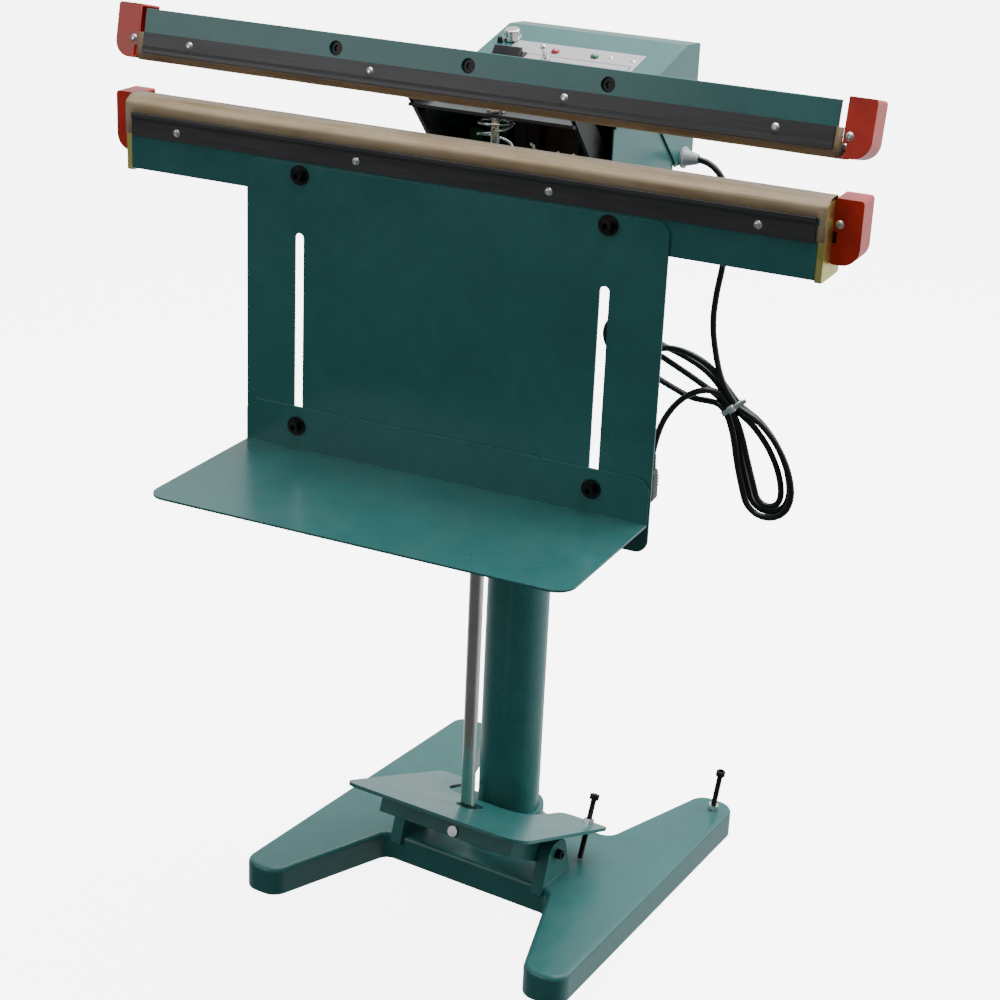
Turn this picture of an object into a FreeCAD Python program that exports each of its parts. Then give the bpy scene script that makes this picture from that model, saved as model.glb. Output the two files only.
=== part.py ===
import FreeCAD, Part
import math
import os

# Free-standing foot-pedal impulse heat sealer, in millimetres.
# Origin: the column's axis where it meets the floor. +X runs along the jaws to the user's right,
# -Y points to the user and +Z is up. The base and the pedal sit a few degrees askew of the head.
V = FreeCAD.Vector
along_x = V(1, 0, 0)
along_y = V(0, 1, 0)
along_z = V(0, 0, 1)

# Base casting (drawn square to its own frame, then turned about the column)
base_turn = -5.9
leg_outer_x = 189.0
leg_rear_x = 178.5
leg_inner_front_x = 146.5
leg_inner_rear_x = 135.0
leg_front_y = -213.0
leg_rear_y = 187.0
cross_half = 99.0
cross_front_y = -80.0
cross_rear_y = 50.0
cast_top = 30.0
cast_wall = 8.0
cast_recess = 9.0
cast_edge_round = 5.0
tip_round = 19.0
collar_wall = 5.5
collar_top = 62.0
socket_floor = 12.0

# Column
column_r = 32.0
column_wall = 3.0
collar_r = column_r + collar_wall
column_top = 700.0
socket_clearance = 0.1
head_socket_length = 48.0
head_socket_r = column_r + 8.0
head_plate_x = 66.0
head_plate_y = 52.0
head_plate_t = 9.0

# Fasteners
m6_r = 3.0
m6_head_r = m6_r + 2.0
m6_head_h = 2 * m6_r
m6_nut_r = m6_r + 2.8
m6_nut_h = 5.0
hole_clearance = 0.1
part_gap = 0.3
running_clearance = 0.05

# Foot pedal, drawn level about its pivot and tipped up to rest
pedal_centre_x = 10.3
pedal_half = 102.5
pedal_front = -134.0
pedal_rear = 63.0
pedal_plate_w = 27.4
pedal_plate_t = 3.5
pedal_corner = 14.0
pedal_tilt = 21.2
pivot_y = -55.0
pivot_z = 58.0
pivot_r = 5.0
pedal_arm_x = 78.0
pedal_arm_t = 4.0
ear_gap = 1.0
ear_t = 13.0
ear_r = 14.0
notch_half = collar_r + 12.5
notch_front = -17.0
notch_round = 26.0
web_v = -76.0
web_t = 3.0
web_bottom_w = -2.0
web_bolt_w = 4.0
lug_t = 4.0
lug_gap = 0.6
lug_round = 6.0
stop_x = 95.0
stop_v = 50.5
stop_above = 33.0
stop_gap = 0.5
level_x = leg_rear_x - 21.5
level_y = leg_rear_y - 22.0
level_length = 78.0
level_lean = 7.0

# Pull rod
rod_y = -100.0
rod_r = 7.0
rod_top = 712.0
rod_pin_y = -99.5
rod_pin_z = 82.0
rod_pin_r = 4.0
rod_eye_t = 10.0
rod_eye_slot = 5.4
rod_eye_free = 0.6
rod_eye_wall = 4.5
stud_r = 4.0
stud_top = 823.0
stud_nut_r = 7.5
stud_nut_h = 4.0
stud_nut_step = 4.2
spring_nut_z = 771.0
rod_washer_r = 9.0
rod_washer_t = 2.0

# Head frame
chassis_half = 92.0
chassis_front_y = -47.0
chassis_rear_y = 107.0
chassis_top = 797.0
sheet_t = 1.5
floor_t = 3.0
beam_bottom = 729.4
stop_screw_x = 76.0
stop_screw_y = -128.0
stop_screw_length = 62.0
switch_x = 62.0
wing_x = 67.0
wing_y = -96.0
terminal_top = 767.4
core_half = 42.0
core_leg = 12.0
core_height = 70.0
core_front_y = 30.0
core_rear_y = 98.0
coil_over = 8.0
board_left = -84.0
board_right = -50.0
board_front_y = 5.0
board_rear_y = 95.0
board_t = 1.6
board_post_h = 20.0
board_post_r = 2.5
switch_half = 5.0
switch_pin_y = 4.0
switch_pin_h = 18.0
switch_blade_t = 0.8
hook_x = 40.0
hook_y = -104.0
hook_top = 783.4
hook_r = 1.3
hook_bend_r = 3.4

# Lower jaw
jaw_half = 330.0
beam_front_y = -185.0
beam_depth = 48.0
crown_depth = 28.0
crown_step = 1.0
beam_wall = 3.0
beam_top = 781.0
jaw_top = 797.0
cloth_t = 0.6
core_end_t = 6.0
core_depth = 26.0
jaw_round = 13.0
strip_t = 2.0
strip_lip = 1.2
strip_low = 761.0
strip_high = 782.0
jaw_screw_x = (-279.5, -93.0, 93.0, 279.5)
jaw_screw_z = 769.0
jaw_screw_r = 3.6
strip_screw_r = 2.0
cap_length = 24.0
cap_wall = 2.0
cap_round = 15.0
cap_front_y = -165.0
cap_low = 740.0
cap_high = 795.0
element_y = -166.0
element_w = 4.0
element_t = 0.3

# Upper jaw, drawn closed on the lower one and tipped back about the hinge
open_angle = 12.1
hinge_y = -33.5
hinge_z = 759.0
hinge_r = 6.0
upper_front_y = -178.0
upper_plate_t = 5.0
upper_depth = 30.0
upper_top = 844.0
upper_foot_t = 9.0
upper_foot_z = 802.0
seal_gap = 0.4
upper_strip_low = 804.0
upper_strip_high = 822.5
upper_screw_z = 815.2
jaw_bolt_x = (-130.0, 0.0, 130.0)
jaw_bolt_z = 831.0
jaw_bolt_r = 6.5
jaw_bolt_head_h = 2.4
jaw_bolt_gap = 0.6
arm_x = 82.0
arm_t = 4.0
arm_boss_r = hinge_r + 8.0
bar_half = 146.0
bar_t = 12.0
bar_h = 20.0
bridge_y = -108.7
bridge_z = 792.5
bridge_t = 3.0
bridge_half_depth = 14.0

# Return spring
spring_r = 15.75
spring_wire_r = 1.25
spring_pitch = 18.0
spring_gap = 3.2

# Cover and control panel
cover_half = 94.0
cover_front_z = 807.0
cover_crest_y = 120.0
cover_crest_z = 848.5
cover_rear_y = 153.0
cover_rear_z = 846.0
cover_low = 733.0
cover_tail_y = 107.0
cover_tail_z = 738.0
cover_lip = 10.0
panel_half = 67.0
panel_low_y = -10.0
panel_high_y = 83.0
panel_t = 0.8
panel_screw_places = ((36.4, 70.0), (59.8, 68.0), (59.0, -2.0))
knob_r = 7.5
knob_h = 11.0
knob_x = -73.0
knob_y = 84.0
fuse_x = -82.5
fuse_y = 75.5
fuse_r = 2.3
rocker_x = -60.6
rocker_y = 46.0
rocker_half = 16.4
rocker_depth = 20.0
rocker_wall = 1.0
rocker_tilt_gap = 0.3
toggle_x = -22.0
toggle_y = 49.0
toggle_travel = 24.0
toggle_pin_r = 0.5
toggle_pin_half = 2.6
toggle_pivot_z = 2.5
lamp_r = 4.2
lamp_places = {"power_lamp": -20.0, "sealing_lamp": 20.5}
lamp_y = 67.4

# Bag backboard and tray
plate_half = 204.4
plate_t = 2.0
plate_low = 461.2
plate_high = 758.5
plate_corner = 12.0
slot_x = 149.4
slot_r = m6_r + 1.5
slot_low = 484.0
slot_high = 695.6
plate_screw_z = 749.0
tray_z = 489.5
tray_half = 203.5
tray_reach = 170.0
tray_flange = 41.5
tray_screw_z = 512.3
tray_corner = 18.0
washer_r = slot_r + 4.5
washer_t = 1.5

# Mains lead
cord_d = 6.5
gland_y = 128.0
gland_z = 739.0
gland_r = 10.5
gland_flange_t = 2.5
gland_body_r = 8.5
gland_length = 16.0
gland_bore_r = 4.0
gland_neck = 6.0
hank_y = 125.0
tie_point = V(167, 125, 497)
tie_width = 5.0
tie_t = 1.4
neck_r = cord_d + 3.0
hank_lower = V(207, 125, 425)
hank_lower_r = 31.0
hank_upper = V(45, 125, 549)
hank_upper_r = 24.5
supply_route = [
    V(104, 128, 739), V(115, 128, 739), V(125.3, 127.5, 735), V(133.8, 127, 727.6), V(139.8, 126.5, 718.4),
    V(142.8, 126, 707.8), V(144.5, 125.5, 692), V(146, 125, 668), V(145, 125, 640), V(140, 125, 608),
    V(139, 125, 577), V(145.5, 125, 548), V(153, 125, 529), V(159, 125, 511),
]
tail_route = [
    V(153, 120, 507), V(139, 112, 507), V(122.5, 110, 499), V(106.5, 110, 483), V(94.5, 112, 461),
    V(90, 114, 434),
]
plug_w = 26.0
plug_d = 20.0
plug_h = 34.0
relief_h = 16.0
blade_h = 17.0


def block(x0, x1, y0, y1, z0, z1):
    return Part.makeBox(x1 - x0, y1 - y0, z1 - z0, V(x0, y0, z0))


def rod(centre, radius, length, along=along_z):
    return Part.makeCylinder(radius, length, centre, along)


def hex_prism(centre, across_r, height, along=along_z):
    corners = [V(across_r * math.cos(math.radians(60 * k)), across_r * math.sin(math.radians(60 * k)), 0)
               for k in range(7)]
    shape = Part.Face(Part.makePolygon(corners)).extrude(V(0, 0, height))
    turn = FreeCAD.Rotation(along_z, along)
    shape.Placement = FreeCAD.Placement(centre, turn)
    return shape


def outline(points, place):
    """A closed wire through (a, b, corner radius) points, each corner rounded by its own arc."""
    spots = [V(a, b, 0) for a, b, _ in points]
    starts, ends, mids = [], [], []
    for k, spot in enumerate(spots):
        radius = points[k][2]
        before = (spots[k - 1] - spot).normalize()
        after = (spots[(k + 1) % len(spots)] - spot).normalize()
        half = before.getAngle(after) / 2
        step = radius / math.tan(half)
        inward = (before + after).normalize()
        starts.append(spot + before * step)
        ends.append(spot + after * step)
        mids.append(spot + inward * (radius / math.sin(half) - radius))
    edges = []
    for k, spot in enumerate(spots):
        if points[k][2] > 0:
            edges.append(Part.Arc(place(starts[k]), place(mids[k]), place(ends[k])).toShape())
        following = starts[(k + 1) % len(spots)]
        if (following - ends[k]).Length > 1e-6:
            edges.append(Part.makeLine(place(ends[k]), place(following)))
    return Part.Wire(Part.__sortEdges__(edges))


def plan(points, z0, z1):
    """Extrude an outline drawn in X and Y from z0 to z1."""
    wire = outline(points, lambda p: V(p.x, p.y, z0))
    return Part.Face(wire).extrude(V(0, 0, z1 - z0))


def side(points, x0, x1):
    """Extrude an outline drawn in Y and Z from x0 to x1."""
    wire = outline(points, lambda p: V(x0, p.x, p.y))
    return Part.Face(wire).extrude(V(x1 - x0, 0, 0))


def front(points, y0, y1):
    """Extrude an outline drawn in X and Z from y0 to y1."""
    wire = outline(points, lambda p: V(p.x, y0, p.y))
    return Part.Face(wire).extrude(V(0, y1 - y0, 0))


def joined(shapes):
    return shapes[0].fuse(shapes[1:]).removeSplitter()


def group(shapes):
    return Part.makeCompound(shapes)


def turned(shape, point, axis, degrees):
    moved = shape.copy()
    moved.rotate(point, axis, degrees)
    return moved


def mirrored(shape):
    return shape.mirror(V(0, 0, 0), along_x)


def on_base(shape):
    """From the base's own frame into the sealer's."""
    return turned(shape, V(0, 0, 0), along_z, base_turn)


def on_pedal(shape):
    """From the level pedal, drawn about its pivot, to its place at rest."""
    tipped = turned(shape, V(0, 0, 0), along_x, -pedal_tilt)
    tipped.translate(V(0, pivot_y, pivot_z))
    return on_base(tipped)


def opened(shape):
    """From the closed upper jaw to its open place."""
    return turned(shape, V(0, hinge_y, hinge_z), along_x, -open_angle)


def socket_bolt(tip, length, along):
    """A socket-head cap screw from its tip up to the top of its head."""
    way = V(along).normalize()
    head = tip + way * (length - m6_head_h)
    bolt = rod(tip, m6_r, length - m6_head_h, way).fuse(rod(head, m6_head_r, m6_head_h, way))
    key = hex_prism(head + way * (m6_head_h * 0.4), m6_r * 0.95, m6_head_h, way)
    return bolt.cut(key)


def nut(centre, along, bore_r=m6_r, height=m6_nut_h, across_r=m6_nut_r):
    way = V(along).normalize()
    body = hex_prism(centre, across_r, height, way)
    return body.cut(rod(centre - way, bore_r + hole_clearance, height + 2, way))


def jaw_screw_holes(z):
    """Holes for the strips' screws, from in front of the strips to behind the lower jaw's front wall."""
    start = beam_front_y - strip_t - 2
    length = upper_front_y - start + 12
    return [rod(V(x, start, z), strip_screw_r + hole_clearance, length, along_y) for x in jaw_screw_x]


def jaw_screw(x, y, z, reach):
    """A pan-head screw driven in along +Y."""
    head = Part.makeSphere(jaw_screw_r * 1.25, V(x, y + jaw_screw_r * 0.65, z))
    head = head.common(block(x - 9, x + 9, y - 9, y, z - 9, z + 9))
    slot = hex_prism(V(x, y - 3.4, z), 1.5, 2.2, along_y)
    return head.fuse(rod(V(x, y, z), strip_screw_r, reach, along_y)).removeSplitter().cut(slot)


# ---- Base, column and pedal

def level_axis():
    return V(math.sin(math.radians(level_lean)), 0, math.cos(math.radians(level_lean)))


def leg_outline():
    return [(cross_half, cross_front_y, 14), (leg_inner_front_x, leg_front_y, tip_round),
            (leg_outer_x, leg_front_y, tip_round), (leg_rear_x, leg_rear_y, tip_round),
            (leg_inner_rear_x, leg_rear_y, tip_round), (cross_half - 3, cross_rear_y, 14)]


def base_casting():
    right = leg_outline()
    left = [(-x, y, r) for x, y, r in reversed(right)]
    body = plan(right + left, 0, cast_top)
    rim = [edge for edge in body.Edges if edge.BoundBox.ZMin > cast_top - 1]
    body = body.makeFillet(cast_edge_round, rim)
    collar = rod(V(0, 0, 0), collar_r, collar_top)
    flare = Part.makeCone(collar_r + 16, collar_r, 16, V(0, 0, cast_top))
    ears = []
    for sign in (-1, 1):
        inner = pedal_arm_x + ear_gap
        profile = [(pivot_y - 30, cast_top - 8, 0), (pivot_y - ear_r, pivot_z + ear_r, ear_r * 0.98),
                   (pivot_y + ear_r, pivot_z + ear_r, ear_r * 0.98), (pivot_y + 30, cast_top - 8, 0)]
        x0, x1 = (inner, inner + ear_t) if sign > 0 else (-inner - ear_t, -inner)
        ears.append(side(profile, x0, x1))
    body = joined([body, collar, flare] + ears)
    return on_base(cut_base(body))


def cut_base(body):
    cuts = [rod(V(0, 0, socket_floor), column_r + socket_clearance, collar_top)]
    cuts.append(rod(V(-200, pivot_y, pivot_z), pivot_r + hole_clearance, 400, along_x))
    way = level_axis()
    foot = V(level_x, level_y, 0)
    cuts.append(rod(foot - way * 20, m6_r + hole_clearance, 100, way))
    inset = cast_wall
    for sign in (-1, 1):
        leg = [(cross_half + inset, cross_front_y + 10, 6), (leg_inner_front_x + inset, leg_front_y + 45, 6),
               (leg_outer_x - inset, leg_front_y + 45, 6), (leg_rear_x - inset, leg_rear_y - 45, 6),
               (leg_inner_rear_x + inset, leg_rear_y - 45, 6), (cross_half + inset, cross_rear_y - 10, 6)]
        bay = [(collar_r + 14, cross_front_y + inset, 6), (cross_half + inset + 8, cross_front_y + inset, 6),
               (cross_half + inset + 8, cross_rear_y - inset, 6), (collar_r + 14, cross_rear_y - inset, 6)]
        for shape in (leg, bay):
            points = shape if sign > 0 else [(-x, y, r) for x, y, r in reversed(shape)]
            cuts.append(plan(points, -1, cast_recess))
    for angle in (90, 210):
        way = V(math.cos(math.radians(angle)), math.sin(math.radians(angle)), 0)
        cuts.append(rod(V(0, 0, collar_top - 12) + way * 20, m6_r + hole_clearance, 30, way))
    return body.cut(cuts)


def collar_screws():
    """Grub screws that lock the column in the base's collar and in the head's socket."""
    screws = []
    spots = [(collar_top - 12, collar_r, base_turn), (head_bottom() + 14, head_socket_r, 0)]
    for z, outer, skew in spots:
        for angle in (90, 210):
            way = V(math.cos(math.radians(angle)), math.sin(math.radians(angle)), 0)
            start = V(0, 0, z) + way * (column_r + 0.2)
            screw = rod(start, m6_r, outer - column_r + 2.0, way)
            screws.append(turned(screw, V(0, 0, 0), along_z, skew))
    return group(screws)


def levelling_bolt():
    way = level_axis()
    tip = V(level_x, level_y, 0) + way * 0.9
    return on_base(socket_bolt(tip, level_length, way))


def levelling_nut():
    way = level_axis()
    seat = V(level_x, level_y, 0) + way * (cast_top / way.z + 0.8)
    return on_base(nut(seat, way))


def column():
    tube = rod(V(0, 0, socket_floor), column_r, column_top - socket_floor)
    return tube.cut(rod(V(0, 0, socket_floor - 1), column_r - column_wall, column_top))


def pedal_pivot_bolt():
    """The long bolt through both ears, with its nut on the left."""
    outer = pedal_arm_x + ear_gap + ear_t
    bolt = socket_bolt(V(-outer - 9, pivot_y, pivot_z), 2 * outer + 9 + m6_head_h, along_x)
    shank = rod(V(-outer, pivot_y, pivot_z), pivot_r, 2 * outer, along_x)
    end_nut = nut(V(-outer - m6_nut_h, pivot_y, pivot_z), along_x)
    return on_base(group([bolt.fuse(shank).removeSplitter(), end_nut]))


def pedal_plate():
    half_t = pedal_plate_t / 2
    left = pedal_centre_x - pedal_half
    right = pedal_centre_x + pedal_half
    under = pedal_plate_w - half_t
    outer = [(left, pedal_front, pedal_corner), (right, pedal_front, pedal_corner * 1.8),
             (right, pedal_rear, 6), (notch_half + 9, pedal_rear, 10),
             (notch_half + 4, notch_front, notch_round), (4 - notch_half, notch_front, notch_round),
             (-1 - notch_half, pedal_rear, 10), (left, pedal_rear, 8)]
    plate = plan(outer, under, pedal_plate_w + half_t)
    slot = [(pedal_centre_x - 12, -70, 11), (pedal_centre_x + 12, -70, 11),
            (pedal_centre_x + 12, -37, 11), (pedal_centre_x - 12, -37, 11)]
    plate = plate.cut(plan(slot, under - 5, under + 15))
    plate = plate.cut(rod(V(stop_x, stop_v, 0), m6_r + hole_clearance, 60))
    web = block(-pedal_arm_x, pedal_arm_x, web_v, web_v + web_t, web_bottom_w, under)
    pieces = [plate, web]
    arm = [(web_v, under, 0), (web_v, web_bottom_w, 6), (-12, -12, 8), (12, -12, 11), (16, under, 0)]
    for sign in (-1, 1):
        x0 = pedal_arm_x - pedal_arm_t if sign > 0 else -pedal_arm_x
        pieces.append(side(arm, x0, x0 + pedal_arm_t))
    pin_v, pin_w = pin_on_pedal()
    tip_v = pin_v + lug_round + 2
    lug = [(web_v + 1, pin_w - 7, 0), (tip_v, pin_w - 7, lug_round), (tip_v, pin_w + 7, lug_round),
           (web_v + 1, pin_w + 9, 0)]
    for sign in (-1, 1):
        near = rod_eye_t / 2 + lug_gap
        x0 = pedal_centre_x + (near if sign > 0 else -near - lug_t)
        pieces.append(side(lug, x0, x0 + lug_t))
    body = joined(pieces)
    body = body.cut(rod(V(-200, 0, 0), pivot_r + running_clearance, 400, along_x))
    body = body.cut(rod(V(pedal_centre_x - 12, pin_v, pin_w), rod_pin_r, 24, along_x))
    body = body.cut(rod(V(pedal_centre_x, web_v - 5, web_bolt_w), m6_r + hole_clearance, 12, along_y))
    return on_pedal(body)


def pin_on_pedal():
    """The rod pin's place in the level pedal's own frame."""
    a = math.radians(pedal_tilt)
    dy, dz = rod_pin_y - pivot_y, rod_pin_z - pivot_z
    return dy * math.cos(a) - dz * math.sin(a), dy * math.sin(a) + dz * math.cos(a)


def rod_pin():
    """The pin that hangs the pull rod on the pedal, and the bolt that closes the pedal's web."""
    pin_v, pin_w = pin_on_pedal()
    reach = rod_eye_t / 2 + lug_gap + lug_t
    pin = rod(V(pedal_centre_x - reach, pin_v, pin_w), rod_pin_r, 2 * reach, along_x)
    head = rod(V(pedal_centre_x, web_v - 2.5, web_bolt_w), 5.5, 2.5, along_y)
    shank = rod(V(pedal_centre_x, web_v, web_bolt_w), m6_r, web_t + 2, along_y)
    return on_pedal(group([pin, head.fuse(shank).removeSplitter()]))


def stop_tip_w():
    """How low the stop bolt reaches in the pedal's frame, so that it rests on the casting."""
    a = math.radians(pedal_tilt)
    return (cast_top + stop_gap + m6_r * math.sin(a) - pivot_z + stop_v * math.sin(a)) / math.cos(a)


def pedal_stop_bolt():
    length = pedal_plate_w + stop_above - stop_tip_w()
    return on_pedal(socket_bolt(V(stop_x, stop_v, stop_tip_w()), length, along_z))


def pedal_stop_nut():
    return on_pedal(nut(V(stop_x, stop_v, pedal_plate_w + pedal_plate_t / 2), along_z))


# ---- Pull rod

def pull_rod():
    slot_h = rod_pin_r + rod_eye_free
    eye_front = rod_pin_y - rod_eye_slot - slot_h - rod_eye_wall
    eye_rear = rod_pin_y + slot_h + rod_eye_wall
    x0 = pedal_centre_x - rod_eye_t / 2
    eye = side([(eye_front, rod_pin_z - 9.5, 8), (eye_rear, rod_pin_z - 9.5, 8),
                (eye_rear, rod_pin_z + 9.5, 3), (eye_front, rod_pin_z + 9.5, 3)], x0, x0 + rod_eye_t)
    slot_front, slot_rear, end = rod_pin_y - rod_eye_slot - slot_h, rod_pin_y + slot_h, slot_h * 0.98
    low, high = rod_pin_z - slot_h, rod_pin_z + slot_h
    slot = [(slot_front, low, end), (slot_rear, low, end), (slot_rear, high, end), (slot_front, high, end)]
    slot = side(slot, x0 - 5, x0 + rod_eye_t + 5)
    eye = on_base(eye.cut(slot))
    start = rod_pin_z + 14
    bar = rod(V(0, rod_y, start), rod_r, rod_top - start)
    flat = block(x0, x0 + rod_eye_t, rod_pin_y - rod_r + 1, rod_pin_y + rod_r - 1, rod_pin_z + 6, start + 1)
    neck = rod(V(0, rod_y, rod_top - 1), stud_r, stud_top - rod_top + 1)
    collar = Part.makeCone(rod_r, stud_r, 5, V(0, rod_y, rod_top))
    return joined([eye, on_base(flat), bar, neck, collar])


def rod_nuts():
    """Two lock nuts on the stud in the spring, and a washer and two nuts on top of the jaw's bridge."""
    base = bridge_washer_z()
    up = along_z
    ring = rod(V(0, rod_y, base), rod_washer_r, rod_washer_t)
    pieces = [ring.cut(rod(V(0, rod_y, base - 1), stud_r + hole_clearance, rod_washer_t + 2))]
    for low in (spring_nut_z, base + rod_washer_t):
        for z in (low, low + stud_nut_step):
            pieces.append(nut(V(0, rod_y, z), up, stud_r, stud_nut_h, stud_nut_r))
    return group(pieces)


def bridge_washer_z():
    """The washer's underside, clear of the tipped bridge at both ends of the travel."""
    a = math.radians(open_angle)
    dy, dz = bridge_y - hinge_y, bridge_z - hinge_z
    rest_z = hinge_z - dy * math.sin(a) + dz * math.cos(a)
    return rest_z + bridge_t / 2 + rod_washer_r * math.tan(a / 2) + 0.9


def return_spring():
    low = beam_bottom + spring_wire_r + 0.05
    high = bridge_washer_z() - bridge_t - spring_gap - 2 * spring_wire_r
    helix = Part.makeHelix(spring_pitch, high - low, spring_r)
    helix.translate(V(0, rod_y, low))
    profile = Part.Wire(Part.makeCircle(spring_wire_r, V(spring_r, rod_y, low), V(0, 1, 0.18)))
    coil = Part.Wire(helix).makePipeShell([profile], True, True)
    rings = [Part.makeTorus(spring_r, spring_wire_r, V(0, rod_y, z)) for z in (low, high)]
    return joined([coil] + rings)


# ---- Head frame

def head_bottom():
    return column_top - head_socket_length


def column_head():
    top = beam_bottom - floor_t
    plate = [(-head_plate_x, -head_plate_y, 12), (head_plate_x, -head_plate_y, 12),
             (head_plate_x, head_plate_y, 12), (-head_plate_x, head_plate_y, 12)]
    plate = plan(plate, top - head_plate_t, top)
    socket = rod(V(0, 0, head_bottom()), head_socket_r, top - head_bottom())
    rib_y, rib_top, foot_y, foot_z = head_plate_y - 4, top - 4, head_socket_r - 2, head_bottom() + 8
    rib = side([(-rib_y, rib_top, 0), (-foot_y, foot_z, 0), (foot_y, foot_z, 0), (rib_y, rib_top, 0)], -6, 6)
    body = joined([plate, socket, rib])
    cuts = [rod(V(0, 0, head_bottom() - 1), column_r + socket_clearance, head_socket_length + 1)]
    cuts += [rod(V(x, y, top - 20), m6_r + hole_clearance, 30) for x, y in head_bolt_places()]
    for angle in (90, 210):
        way = V(math.cos(math.radians(angle)), math.sin(math.radians(angle)), 0)
        cuts.append(rod(V(0, 0, head_bottom() + 14) + way * 20, m6_r + hole_clearance, 40, way))
    return body.cut(cuts)


def head_bolt_places():
    x, y = head_plate_x - 12, head_plate_y - 12
    return [(-x, -y), (x, -y), (x, y), (-x, y)]


def head_bolts():
    top = beam_bottom - floor_t
    bolts = []
    for x, y in head_bolt_places():
        length = head_plate_t + floor_t + m6_nut_h + 2 + m6_head_h
        bolts.append(socket_bolt(V(x, y, top + floor_t + m6_nut_h + 2), length, V(0, 0, -1)))
        bolts.append(nut(V(x, y, top + floor_t), along_z))
    return group(bolts)


def chassis():
    low = beam_bottom - floor_t
    inner = chassis_half - sheet_t
    floor = block(-chassis_half, chassis_half, beam_front_y + 1, chassis_rear_y, low, beam_bottom)
    pieces = [floor]
    for sign in (-1, 1):
        x0 = inner if sign > 0 else -chassis_half
        pieces.append(block(x0, x0 + sheet_t, chassis_front_y, chassis_rear_y, low, chassis_top))
    body = joined(pieces)
    cuts = [rod(V(0, rod_y, low - 5), stud_r + 2, 20)]
    cuts += [rod(V(x, y, low - 5), m6_r + hole_clearance, 20) for x, y in head_bolt_places()]
    cuts.append(rod(V(-200, hinge_y, hinge_z), hinge_r, 400, along_x))
    stops = (-stop_screw_x, stop_screw_x)
    cuts += [rod(V(x, stop_screw_y, low - 5), m6_r + hole_clearance, 20) for x in stops]
    return body.cut(cuts)


def hinge_shaft():
    reach = chassis_half + 0.4
    return rod(V(-reach, hinge_y, hinge_z), hinge_r, 2 * reach, along_x)


def cover_slope():
    return math.atan2(cover_crest_z - cover_front_z, cover_crest_y - chassis_front_y)


def cover_profile(inset):
    """The cover's side outline, moved inwards by inset on its top and rear."""
    drop = inset / math.cos(cover_slope())
    return [(chassis_front_y, cover_front_z - drop, 0), (cover_crest_y, cover_crest_z - drop, 2),
            (cover_rear_y - inset, cover_rear_z - inset, 2), (cover_rear_y - inset, cover_low, 0),
            (cover_tail_y, cover_low, 0), (cover_tail_y, cover_tail_z, 0),
            (cover_tail_y - 66, cover_tail_z + 59, 0), (chassis_front_y, cover_front_z - cover_lip, 0)]


def top_cover():
    outer = side(cover_profile(0), -cover_half, cover_half)
    inner_half = cover_half - sheet_t
    points = cover_profile(sheet_t)
    points[0] = (chassis_front_y - 5, points[0][1] - 5 * math.tan(cover_slope()), 0)
    points[3] = (cover_rear_y - sheet_t, cover_low - 10, 0)
    hollow = side([points[0], points[1], points[2], points[3], (chassis_front_y - 5, cover_low - 10, 0)],
                  -inner_half, inner_half)
    cuts = [hollow, rod(V(cover_half - 10, gland_y, gland_z), gland_bore_r, 20, along_x)]
    cuts += [panel_place(rod(V(0, 0, -10), radius, 20), x, y) for x, y, radius in panel_holes()]
    cuts.append(panel_place(rocker_cut(), rocker_x, rocker_y))
    return outer.cut(cuts)


def rear_panel():
    """The wall that closes the chassis below and behind the transformer."""
    inner = chassis_half - sheet_t - 0.2
    wall = block(-inner, inner, chassis_rear_y - sheet_t, chassis_rear_y, beam_bottom, chassis_top - 4)
    tail = block(-inner, inner, chassis_rear_y, cover_rear_y - sheet_t - 0.2, cover_low, cover_low + sheet_t)
    return joined([wall, tail])


def panel_z(y):
    return cover_front_z + (y - chassis_front_y) * math.tan(cover_slope())


def panel_place(shape, x, y):
    """From a level drawing about (0, 0, 0) to the sloping top at (x, y)."""
    moved = turned(shape, V(0, 0, 0), along_x, math.degrees(cover_slope()))
    moved.translate(V(x, y, panel_z(y)))
    return moved


def panel_holes():
    holes = [(knob_x, knob_y, 3.2), (toggle_x, toggle_y, 3.2)]
    holes += [(x, lamp_y, lamp_r - 0.8) for x in lamp_places.values()]
    return holes


def rocker_cut():
    half, deep = rocker_half - rocker_wall, rocker_depth / 2 - rocker_wall
    return block(-half, half, -deep, deep, -10, 10)


def control_panel():
    length = (panel_high_y - panel_low_y) / math.cos(cover_slope())
    sheet = [(-panel_half, 0, 1), (panel_half, 0, 1), (panel_half, length, 1), (-panel_half, length, 1)]
    plate = panel_place(plan(sheet, 0, panel_t), 0, panel_low_y)
    cuts = [panel_place(rod(V(0, 0, -10), radius + 0.3, 20), x, y) for x, y, radius in panel_holes()]
    half, deep = rocker_half + part_gap, rocker_depth / 2 + part_gap
    cuts.append(panel_place(block(-half, half, -deep, deep, -10, 10), rocker_x, rocker_y))
    cuts.append(panel_place(rod(V(0, 0, -5), knob_r + 1.5, 20), knob_x, knob_y))
    return plate.cut(cuts)


def timer_knob():
    skirt = rod(V(0, 0, 1.0), knob_r + 1.2, 3.0)
    grip = rod(V(0, 0, 4.0), knob_r, knob_h - 4.0)
    cap = grip.makeFillet(1.6, [edge for edge in grip.Edges if edge.BoundBox.ZMin > knob_h - 0.5])
    rib = rod(V(knob_r, 0, 4.0), 0.6, knob_h - 7.0)
    ribs = [turned(rib, V(0, 0, 0), along_z, 30 * k) for k in range(12)]
    spindle = rod(V(0, 0, -8), 3.0, 9.5)
    return panel_place(joined([skirt, cap, spindle] + ribs), knob_x, knob_y)


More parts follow.
